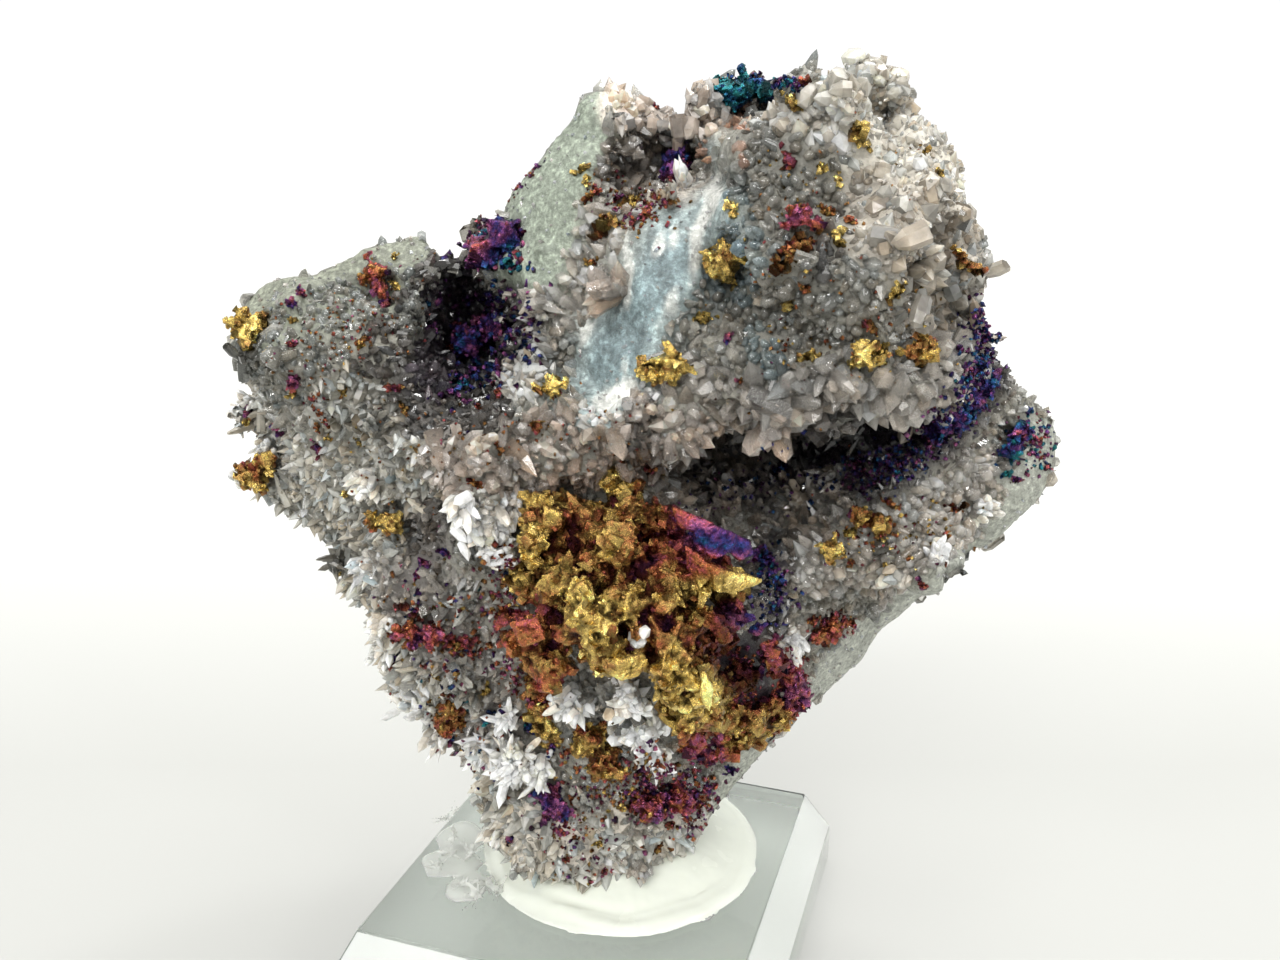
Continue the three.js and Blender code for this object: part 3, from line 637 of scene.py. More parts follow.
def model_wedge(name, sides, lean, chop):
    """A sphenoid: a leaning wedge on so many sides, with its point cut off to a share of its width."""
    bpy.ops.mesh.primitive_cone_add(
        vertices=sides, radius1=1, radius2=chop, depth=WEDGE_TALL, location=(0, 0, WEDGE_TALL / 2))
    wedge = bpy.context.object
    wedge.name = name
    bpy.ops.object.transform_apply(location=True)
    for corner in wedge.data.vertices:
        corner.co.x += lean * corner.co.z
    shape = arrays_of(wedge)
    bpy.data.objects.remove(wedge)
    return shape


# The wedges: how many sides, how far they lean, how blunt they are.
WEDGE_FORMS = [(3, 0.1, 0.15), (3, 0.4, 0.5), (4, -0.3, 0.6), (4, 0.1, 0.8), (5, 0.25, 0.4)]
WEDGES = [model_wedge("wedge", *form) for form in WEDGE_FORMS]


def wedges_on(places, normals, sizes, lean, dice):
    """Wedges at places, leaning from the normals there, and how far along its wedge each corner lies."""
    axes = unit(normals + lean * dice.normal(size=places.shape))
    which = dice.integers(0, len(WEDGES), len(places))
    batches, owners, rises = [], [], []
    for i, wedge in enumerate(WEDGES):
        mine = np.nonzero(which == i)[0]
        if len(mine):
            tall, deep = dice.uniform(0.7, 1.4, len(mine)), dice.uniform(0.5, 1, len(mine))
            batches.append(copies(wedge, places[mine], axes[mine], dice.uniform(0, ANY_TURN, len(mine)),
                                  sizes[mine], sizes[mine] * deep, sizes[mine] * tall, WEDGE_SUNK))
            owners.append(np.repeat(mine, len(wedge[0])))
            rises.append(np.tile(wedge[0][:, 2], len(mine)))
    return joined_copies(batches), np.concatenate(owners), np.concatenate(rises)


def surface_points(piece, count, dice):
    """Points spread evenly over a piece, with the normals and the nearest corner of each."""
    corners, triangles = arrays_of(piece)
    a, b, c = corners[triangles[:, 0]], corners[triangles[:, 1]], corners[triangles[:, 2]]
    normals = np.cross(b - a, c - a)
    areas = np.linalg.norm(normals, axis=1)
    chosen = dice.choice(len(triangles), count, p=areas / areas.sum())
    u, v = dice.random(count), dice.random(count)
    over = u + v > 1
    u[over], v[over] = 1 - u[over], 1 - v[over]
    places = a[chosen] + u[:, None] * (b - a)[chosen] + v[:, None] * (c - a)[chosen]
    return places, unit(normals[chosen]), triangles[chosen, 0]


def join_into(piece, others):
    """Joins other pieces into one, after its own corners."""
    bpy.ops.object.select_all(action="DESELECT")
    for other in others:
        other.select_set(True)
    piece.select_set(True)
    bpy.context.view_layer.objects.active = piece
    bpy.ops.object.join()


def cavity(piece, rounds=6):
    """How far each corner stands proud of its neighbours (+) or lies below them (-), in metres."""
    points, normals = corners_of(piece)
    edges = np.empty(len(piece.data.edges) * 2, int)
    piece.data.edges.foreach_get("vertices", edges)
    edges = edges.reshape(-1, 2)
    counts = np.bincount(edges.ravel(), minlength=len(points))[:, None]
    calm = points.copy()
    for _ in range(rounds):
        total = np.zeros_like(calm)
        np.add.at(total, edges[:, 0], calm[edges[:, 1]])
        np.add.at(total, edges[:, 1], calm[edges[:, 0]])
        calm = total / np.maximum(counts, 1)
    return ((points - calm) * normals).sum(1)


def ore_material(name, rough_low, rough_high, grain):
    """Metal that takes its colour from the tarnish's film, with painted shade in its gaps and a painted
    highlight on its edges.
    """
    material, tree, shader = new_material(name, Metallic=1.0)
    film = add_node(tree, "ShaderNodeAttribute", attribute_name="film")
    rough, fine = uneven(tree, grain, rough_low, rough_high, detail=6, roughness=0.7)
    shifts = [uneven(tree, 1.5 * MM, -0.1, 0.12)[0], spread(tree, fine, -0.08, 0.08)]
    total = film.outputs["Fac"]
    for shift in shifts:
        plus = add_node(tree, "ShaderNodeMath", operation="ADD")
        wire(tree, total, plus.inputs[0])
        wire(tree, shift, plus.inputs[1])
        total = plus.outputs[0]
    ramp = add_node(tree, "ShaderNodeValToRGB")
    stops = ramp.color_ramp.elements
    stops.remove(stops[1])
    for i, (place, colour) in enumerate(TARNISH):
        stop = stops.new(place) if i else stops[0]
        stop.position = place
        stop.color = (*colour, 1)
    wire(tree, total, ramp.inputs["Fac"])
    # The proud number is painted shade and highlight: darker in the gaps and hollows, brighter on proud
    # edges.
    worn = add_node(tree, "ShaderNodeAttribute", attribute_name="proud")
    shade = add_node(tree, "ShaderNodeVectorMath", operation="SCALE")
    wire(tree, ramp.outputs["Color"], shade.inputs[0])
    wire(tree, worn.outputs["Fac"], shade.inputs["Scale"])
    wire(tree, shade.outputs["Vector"], shader.inputs["Base Color"])
    wire(tree, rough, shader.inputs["Roughness"])
    bumped(tree, shader, fine, grain * 0.55)
    return material


ore_metal = ore_material("tarnished chalcopyrite", 0.12, 0.36, 0.35 * MM)


def dress_ore(piece, films, proud):
    """Gives a piece of ore its film, its painted shade and edge highlights, and its place in the part."""
    write_number(piece, "film", np.clip(films, 0, 1))
    write_number(piece, "proud", np.clip(proud, 0.1, 1.5))
    piece.data.materials.clear()
    piece.data.materials.append(ore_metal)
    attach(piece, "root")


# In the gaps of a mass the film is thicker, and painted shade makes the ore darker there; its proud edges get
# a painted highlight.
GAP_FILM, GAP_ROUNDS, GAP_DEEP = 0.3, 28, 0.45 * MM
EDGE_HIGH = 0.25 * MM
SKIN_LEAN, FILM_SCATTER, SHADE_SCATTER = 0.6, 0.07, 0.3


def skinned(piece, film_at, count, small, large, dice):
    """Covers a piece of ore with little wedges, and gives the film and the painted shade of all its corners.
    """
    base = corners_of(piece)[0]
    gaps = np.clip(1 + cavity(piece, GAP_ROUNDS) / GAP_DEEP, 0.2, 1.2)
    places, normals, nearest = surface_points(piece, count, dice)
    sizes = small * (large / small) ** (dice.random(count) ** 1.6) * MM
    (corners, triangles), owners, rises = wedges_on(places, normals, sizes, SKIN_LEAN, dice)
    # Painted shade: each wedge darker in the gaps and toward its root, and a random tone apart.
    shades = (np.exp(dice.normal(0, SHADE_SCATTER, count)) * gaps[nearest])[owners] * (0.3 + 0.8 * rises)
    films = film_at(places) + dice.normal(0, FILM_SCATTER, count)
    films += GAP_FILM * np.clip(1 - gaps[nearest], 0, 1)
    # Painted shade in the hollows and a painted highlight on the edges of the core.
    proud = (0.7 + cavity(piece) / EDGE_HIGH) * gaps
    join_into(piece, [mesh_of("skin", corners, triangles)])
    ground = film_at(base) + GAP_FILM * np.clip(1 - gaps, 0, 1)
    return np.concatenate([ground, films[owners]]), np.concatenate([proud, shades])


def hackly(piece, voxel, coarse, fine, share=0.45):
    """Melts a heap of wedges into one mass with stepped, hackly faces, with a share of its triangles."""
    finish_with(piece, "REMESH", mode="VOXEL", voxel_size=voxel)
    displaced(piece, "VORONOI_F2_F1", 1.7 * MM, coarse)
    displaced(piece, "BLENDER_ORIGINAL", 0.6 * MM, fine, depth=2)
    finish_with(piece, "DECIMATE", ratio=share)
    piece.data.shade_flat()


def spot_films(points, spots):
    """The film at each point from the spots round it, the nearest counting most."""
    seen = seen_at(points)
    places = np.array([(px, py) for _, px, py, _ in spots], float)
    values = np.array([value for *_, value in spots])
    away = np.linalg.norm(seen[:, None] - places[None], axis=2)
    pull = 1 / (away + 4) ** 4
    return (pull * values).sum(1) / pull.sum(1)


# The lumps of the mass: place in the frame, how far in front of its core and size in mm.
MAIN_LUMPS = [
    ("dome", 556, 517, 0.5, 5.0), ("dome's left", 538, 535, 0.0, 4.0),
    ("dome's right", 590, 518, 0.2, 4.0), ("peak", 620, 490, 0.8, 3.0),
    ("peak's foot", 628, 515, 0.3, 3.4), ("saddle", 650, 522, 0.0, 3.2), ("middle", 610, 560, 1.2, 4.8),
    ("middle's left", 572, 570, 0.8, 4.2), ("left gold", 526, 578, 0.2, 3.2),
    ("yellow wall", 588, 612, 1.6, 4.2), ("yellow wall, right", 625, 605, 1.4, 4.2),
    ("yellow wall, low", 600, 640, 1.6, 3.6), ("neck", 660, 600, 0.8, 4.0),
    ("neck, low", 662, 635, 1.0, 3.6), ("spur", 720, 634, 1.0, 3.4), ("spur's foot", 692, 622, 0.8, 3.4),
    ("olive lobe", 675, 665, 1.2, 4.0), ("olive lobe, right", 700, 675, 1.2, 3.6),
    ("olive lobe, low", 685, 705, 0.8, 4.0), ("tongue", 690, 732, 0.5, 3.4), ("rim", 718, 738, 0.6, 3.2),
    ("rim, right", 748, 728, 0.5, 3.0), ("rim's end", 772, 706, 0.4, 2.8),
    ("ring, right", 784, 680, 0.3, 2.8), ("ring, top", 772, 655, 0.2, 2.6),
    ("left copper", 540, 638, 0.6, 4.2), ("left copper, top", 527, 614, 0.4, 3.4),
    ("left copper, low", 546, 668, 0.4, 3.2), ("column", 540, 700, 0.2, 3.0),
    ("column's foot", 545, 722, 0.2, 2.8), ("violet lump", 732, 610, 0.2, 3.2),
    ("blue lump", 756, 620, 0.2, 2.8), ("violet gap", 756, 562, -0.2, 2.8),
    ("behind the wedge", 700, 570, -0.4, 3.6),
]

# Where its tarnish changes: place in the frame and how far the film has gone.
TARNISH_SPOTS = [
    ("dome", 548, 515, 0.14), ("dome's pink", 578, 512, 0.28), ("dome's foot", 540, 548, 0.12),
    ("dome, middle", 560, 530, 0.2), ("peak", 616, 484, 0.04), ("peak's back", 634, 500, 0.22),
    ("behind the peak", 655, 508, 0.32), ("middle", 610, 556, 0.18), ("saddle", 640, 535, 0.26),
    ("yellow wall", 582, 608, 0.04), ("yellow wall, low", 596, 636, 0.05), ("neck", 655, 590, 0.16),
    ("dark gap", 652, 560, 0.36), ("bright flake", 690, 600, 0.06), ("shell", 630, 668, 0.12),
    ("neck, low", 660, 628, 0.3), ("spur", 716, 630, 0.36), ("olive lobe", 668, 668, 0.12),
    ("olive lobe, low", 685, 715, 0.1), ("hole", 735, 670, 0.4), ("rim", 745, 728, 0.16),
    ("rim's inside", 752, 698, 0.4), ("ring, right", 785, 680, 0.46), ("under the rim", 705, 748, 0.5),
    ("ring, top", 770, 650, 0.44), ("ring, low", 770, 722, 0.16), ("ring, outside", 798, 690, 0.56),
    ("violet lump", 728, 612, 0.62), ("blue lump", 757, 620, 0.78), ("violet gap", 758, 562, 0.7),
    ("left copper", 528, 632, 0.36), ("left copper, top", 522, 610, 0.44), ("left gold", 526, 578, 0.14),
    ("left copper, right", 560, 640, 0.32), ("left copper, low", 540, 662, 0.25),
    ("column", 540, 690, 0.38), ("column's foot", 540, 718, 0.12), ("pink blade", 682, 512, 0.5),
    ("pink blade, right", 704, 521, 0.54), ("violet block", 706, 536, 0.76),
    ("violet block, middle", 722, 545, 0.8), ("violet block, right", 744, 548, 0.72),
    ("pink heel", 694, 560, 0.44), ("pink heel, low", 710, 570, 0.34), ("gold wedge", 732, 582, 0.0),
    ("gold wedge's point", 756, 580, -0.02), ("gold wedge's foot", 712, 590, 0.03),
    ("glint", 706, 692, 0.0),
]

# Ridges of lumps: course in the frame, how far in front and size in mm, how many.
MAIN_RIDGES = [
    ("ring", [(762, 648), (784, 656), (794, 680), (784, 706), (762, 724), (734, 738), (704, 748)],
     0.6, 3.0, 14),
    ("ring's lip", [(790, 664), (796, 690), (780, 716), (750, 736)], 1.2, 2.0, 10),
    ("column", [(530, 640), (540, 668), (540, 700), (548, 728)], 0.5, 2.8, 7),
    ("yellow wall", [(584, 596), (590, 620), (602, 646)], 2.2, 3.0, 5),
    ("olive lobe", [(662, 640), (670, 668), (682, 696), (690, 726)], 1.8, 3.4, 6),
    ("rim's inside", [(708, 714), (738, 712), (764, 700)], 1.4, 3.6, 6),
]
for name, course, ahead, size, count in MAIN_RIDGES:
    course = np.array(course, float)
    for share in np.linspace(0, len(course) - 1.001, count):
        leg = int(share)
        px, py = course[leg] + (share - leg) * (course[leg + 1] - course[leg])
        MAIN_LUMPS.append((name, px, py, ahead, size))

CORE_DRAWN_IN, LUMP_WEDGES, LUMP_SUNK = 0.6 * MM, 10, 0.42

dice = np.random.default_rng(7)
core = copy_of("chalcopyrite_main_cluster", "main_mass")
solid_tree = BVHTree.FromObject(core, bpy.context.evaluated_depsgraph_get())
finish_with(core, "DISPLACE", strength=-CORE_DRAWN_IN, mid_level=0.0)
lumps = []
for name, px, py, ahead, size in MAIN_LUMPS:
    aim = sight(px, py)
    met = solid_tree.ray_cast(EYE, aim)[0] or rock_tree.ray_cast(EYE, aim)[0]
    centre = np.array(met - aim * (ahead - size * LUMP_SUNK) * MM)
    around = unit(dice.normal(size=(LUMP_WEDGES, 3)) + np.array([0, -0.7, 0]))
    places = centre + around * size * MM * dice.uniform(0.1, 0.4, (LUMP_WEDGES, 1))
    lumps.append(wedges_on(places, around, size * MM * dice.uniform(0.35, 0.6, LUMP_WEDGES), 0.35, dice)[0])
heap = mesh_of("heap", *joined_copies(lumps))
join_into(core, [heap])
displaced(core, "BLENDER_ORIGINAL", 3 * MM, 0.9 * MM)

# The ring of ore is sunk in its middle. The ore in this hole, and in the gap over it, is darkened nearly to
# black by painted shade.
HOLE_COURSE, HOLE_REACH, HOLE_DEPTH, HOLE_FIRM = [(738, 660), (750, 684)], 26, 3.5 * MM, 2.4
GAP_COURSE, GAP_REACH = [(722, 606), (724, 655)], 36
HOLE_PAINTED_SHADE, GAP_PAINTED_SHADE = 0.85, 0.75

finish_with(core, "REMESH", mode="VOXEL", voxel_size=ORE_VOXEL * 1.4)
places, _ = corners_of(core)
opened = near_stroke(seen_at(places), HOLE_COURSE, HOLE_REACH, HOLE_FIRM)
places = places + unit(places - np.array(EYE)) * (opened * HOLE_DEPTH)[:, None]
core.data.vertices.foreach_set("co", places.ravel())
hackly(core, ORE_VOXEL, 0.35 * MM, 0.3 * MM)

# Flat-faced crystals that stand out of it: the corners of each in the frame and their depths in mm.
FLAT_CRYSTALS = [
    ("pink blade", [(671, 505, -25.2), (717, 525, -26.0), (692, 531, -26.0), (680, 528, -25.2),
                    (676, 512, -21), (712, 530, -21)]),
    ("violet block", [(694, 524, -26.0), (716, 526, -26.8), (738, 534, -26.0), (734, 550, -26.2),
                      (712, 560, -26.6), (694, 546, -25.6), (700, 530, -20), (730, 545, -20)]),
    ("violet block, right", [(734, 534, -25.0), (751, 541, -24.8), (753, 556, -24.6), (738, 562, -25.4),
                             (728, 552, -25.4), (740, 545, -20)]),
    ("gold wedge", [(702, 560, -26.4), (716, 569, -27.6), (766, 580, -24.6), (734, 593, -26.0),
                    (716, 592, -26.6), (704, 574, -22), (740, 583, -21)]),
    ("gold wedge's heel", [(684, 543, -26.0), (700, 556, -26.8), (716, 572, -27.0), (700, 590, -26.0),
                           (688, 566, -25.6), (694, 560, -20)]),
    ("glint", [(702, 668, -29.6), (713, 688, -30.6), (709, 713, -29.4), (700, 695, -30.0), (708, 685, -22)]),
    ("shell", [(600, 656, -27.2), (604, 670, -28.0), (620, 681, -28.2), (638, 676, -28.0), (650, 663, -27.2),
               (646, 654, -27.8), (622, 660, -29.2), (625, 668, -22)]),
    ("left copper face", [(508, 622, -25.6), (540, 618, -26.4), (546, 640, -26.8), (522, 648, -26.0),
                          (528, 634, -20)]),
    ("spur's blade", [(700, 612, -25.4), (716, 614, -26.4), (735, 640, -25.4), (722, 646, -26.2),
                      (716, 630, -20)]),
]


def depth_on_sight(px, py, depth):
    """The point on a line of sight at a depth in mm."""
    aim = sight(px, py)
    return EYE + aim * ((depth * MM - EYE.y) / aim.y)


FLAT_ARRIS, FLAT_VOXEL = 0.18 * MM, 0.22 * MM
flat_shapes = []
for name, corners in FLAT_CRYSTALS:
    mesh = bpy.data.meshes.new(name)
    mesh.from_pydata([depth_on_sight(*corner) for corner in corners], [], [])
    shape = bpy.data.objects.new(name, mesh)
    bpy.context.collection.objects.link(shape)
    in_edit(shape, lambda: bpy.ops.mesh.convex_hull())
    finish_with(shape, "BEVEL", width=FLAT_ARRIS, segments=1, limit_method="ANGLE")
    finish_with(shape, "REMESH", mode="VOXEL", voxel_size=FLAT_VOXEL)
    displaced(shape, "VORONOI_CRACKLE", 1.2 * MM, 0.2 * MM, depth=1)
    displaced(shape, "BLENDER_ORIGINAL", 0.7 * MM, 0.3 * MM)
    shape.data.shade_flat()
    flat_shapes.append(shape)


def main_film(spots):
    """The film at points of the main mass."""
    return spot_films(spots, TARNISH_SPOTS) + 0.08 * mottle(spots, 1.2 * MM, 71)


MAIN_SKIN, MAIN_SMALL, MAIN_LARGE = 3600, 0.2, 1.0

films, proud = skinned(core, main_film, MAIN_SKIN, MAIN_SMALL, MAIN_LARGE, dice)
# The flat crystals get painted shade in their hollows and a painted highlight on their edges.
for shape in flat_shapes:
    places, _ = corners_of(shape)
    films = np.concatenate([films, main_film(places)])
    proud = np.concatenate([proud, 0.95 + cavity(shape, 12) / (0.2 * MM)])
join_into(core, flat_shapes)
seen = seen_at(corners_of(core)[0])
# Painted shade over the hole and the gap beside it.
shaded = np.maximum(GAP_PAINTED_SHADE * near_stroke(seen, GAP_COURSE, GAP_REACH),
                    np.minimum(near_stroke(seen, HOLE_COURSE, HOLE_REACH, PAINT_FIRM), HOLE_PAINTED_SHADE))
dress_ore(core, films, proud * (1 - shaded))
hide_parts("chalcopyrite_main_cluster")

# ---------------------------------------------------------------- the lesser masses of chalcopyrite
# Spots of the same ore in their own pockets of the quartz, from a single wedge to a crust of many. Each has
# its own shades of film, and most are blunt and hackly with small sharp wedges standing out of them.

# Each by its node: the shade it is sorted under, and its film from and to.
LESSER_MASSES = {
    "lower_cluster": ("gold", 0.06, 0.4), "left_tip_crystal": ("gold", 0.05, 0.14),
    "left_knob": ("gold", 0.1, 0.34), "left_fork": ("gold", 0.1, 0.22), "ridge_lump": ("gold", 0.02, 0.2),
    "cleavage_lump": ("gold", 0.04, 0.16), "band_lump": ("gold", 0.0, 0.12),
    "brow_grain_left": ("gold", 0.02, 0.2), "shelf_crystal": ("gold", 0.0, 0.2),
    "back_upper_cluster": ("gold", 0.06, 0.3), "left_column": ("copper", 0.1, 0.44),
    "corner_crystal": ("copper", 0.2, 0.4), "left_streak": ("copper", 0.36, 0.56),
    "upper_left_copper": ("copper", 0.3, 0.5), "red_grains": ("copper", 0.4, 0.54),
    "brow_grain_right": ("copper", 0.1, 0.3), "shelf_cluster": ("copper", 0.1, 0.36),
    "lower_right_patch": ("copper", 0.34, 0.5), "back_left_cluster": ("copper", 0.2, 0.5),
    "lower_right_cluster": ("violet", 0.36, 0.64), "lower_left_knot": ("violet", 0.56, 0.74),
    "upper_hollow_crystal": ("violet", 0.6, 0.74), "top_crust": ("violet", 0.78, 1.0),
    "notch_crust": ("violet", 0.54, 0.86), "left_hollow_crust": ("violet", 0.6, 0.84),
    "right_arm_crust": ("violet", 0.66, 0.84), "right_edge_crust": ("violet", 0.66, 0.98),
    "back_lower_cluster": ("violet", 0.6, 0.84),
}
TOP_CRUST_FLATTENED, TOP_CRUST_SPREAD, TOP_CRUST_LIFT, TOP_CRUST_THICK = 0.8, 1.35, 0.1 * MM, 0.9 * MM
SMOOTH_CRUSTS = ["top_crust", "notch_crust"]
MASS_DRAWN_IN, MASS_WEDGES, MASS_LUMPS, CRUST_LUMPS = 0.7 * MM, 16, 0.14, 0.07
HACKLY_SKIN, SMOOTH_SKIN = 2.2, 0.6             # wedges to a square millimetre
MASS_SMALL, MASS_LARGE = 0.25, 0.6

# Two crusts change colour from end to end: place in the frame and film.
CRUST_SPOTS = {
    "top_crust": [("green end", 722, 88, 1.0), ("blue middle", 755, 76, 0.9), ("violet end", 795, 82, 0.72)],
    "notch_crust": [("pink", 474, 232, 0.54), ("violet", 496, 222, 0.66), ("teal", 512, 268, 0.95)],
}


def cling(piece, thickness):
    """Lays a crust on the rock, nowhere thicker than this."""
    places, _ = corners_of(piece)
    laid = []
    for place in map(Vector, places.tolist()):
        foot, normal, _, away = rock_tree.find_nearest(place)
        proud = (place - foot).dot(normal) > 0
        laid.append(foot + (place - foot) * (thickness / away) if proud and away > thickness else place)
    piece.data.vertices.foreach_set("co", np.array(laid).ravel())
    piece.data.update()


def lie_flat(piece, height, width, lift):
    """Presses a piece down and out about its middle, then lifts it a little."""
    middle = sum((corner.co for corner in piece.data.vertices), Vector()) / len(piece.data.vertices)
    for corner in piece.data.vertices:
        away = corner.co - middle
        corner.co = middle + Vector((away.x * width, away.y, away.z * height + lift))


def mass_film(spots, zones, low, high):
    """The film at points of a lesser mass: from its own spots, or mottled from one stage to another."""
    if zones:
        return spot_films(spots, zones)
    return low + (high - low) * np.clip(0.5 + mottle(spots, 1.3 * MM, 31), 0, 1)


mass_pieces = []
for node, (shade, low, high) in LESSER_MASSES.items():
    mass = copy_of(node, node.replace("crust", "mass") + "_ore")
    if node == "top_crust":
        lie_flat(mass, TOP_CRUST_FLATTENED, TOP_CRUST_SPREAD, TOP_CRUST_LIFT)
    smooth = node in SMOOTH_CRUSTS
    places, normals, _ = surface_points(mass, MASS_WEDGES, dice)
    size = max(mass.dimensions) * (CRUST_LUMPS if "crust" in node else MASS_LUMPS)
    if not smooth:
        finish_with(mass, "DISPLACE", strength=-MASS_DRAWN_IN, mid_level=0.0)
    sizes = size * dice.uniform(0.5, 1.1, MASS_WEDGES)
    heap = mesh_of("heap", *wedges_on(places - normals * 0.5 * MM, normals, sizes, 0.7, dice)[0])
    join_into(mass, [heap])
    hackly(mass, ORE_VOXEL, 0.25 * MM, 0.2 * MM)
    if node == "top_crust":
        cling(mass, TOP_CRUST_THICK)
    area = sum(face.area for face in mass.data.polygons) / MM ** 2
    count = int(area * (SMOOTH_SKIN if smooth else HACKLY_SKIN))
    films, proud = skinned(mass, lambda spots: mass_film(spots, CRUST_SPOTS.get(node), low, high),
                           count, MASS_SMALL, MASS_LARGE, dice)
    dress_ore(mass, films, proud)
    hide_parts(node)
    mass_pieces.append(mass)

# ---------------------------------------------------------------- the grains
# Single crystals of the same ore, sprinkled over the druse, and some drawn out into rods. Each is a knot of
# sharp little wedges, grown where it sits.

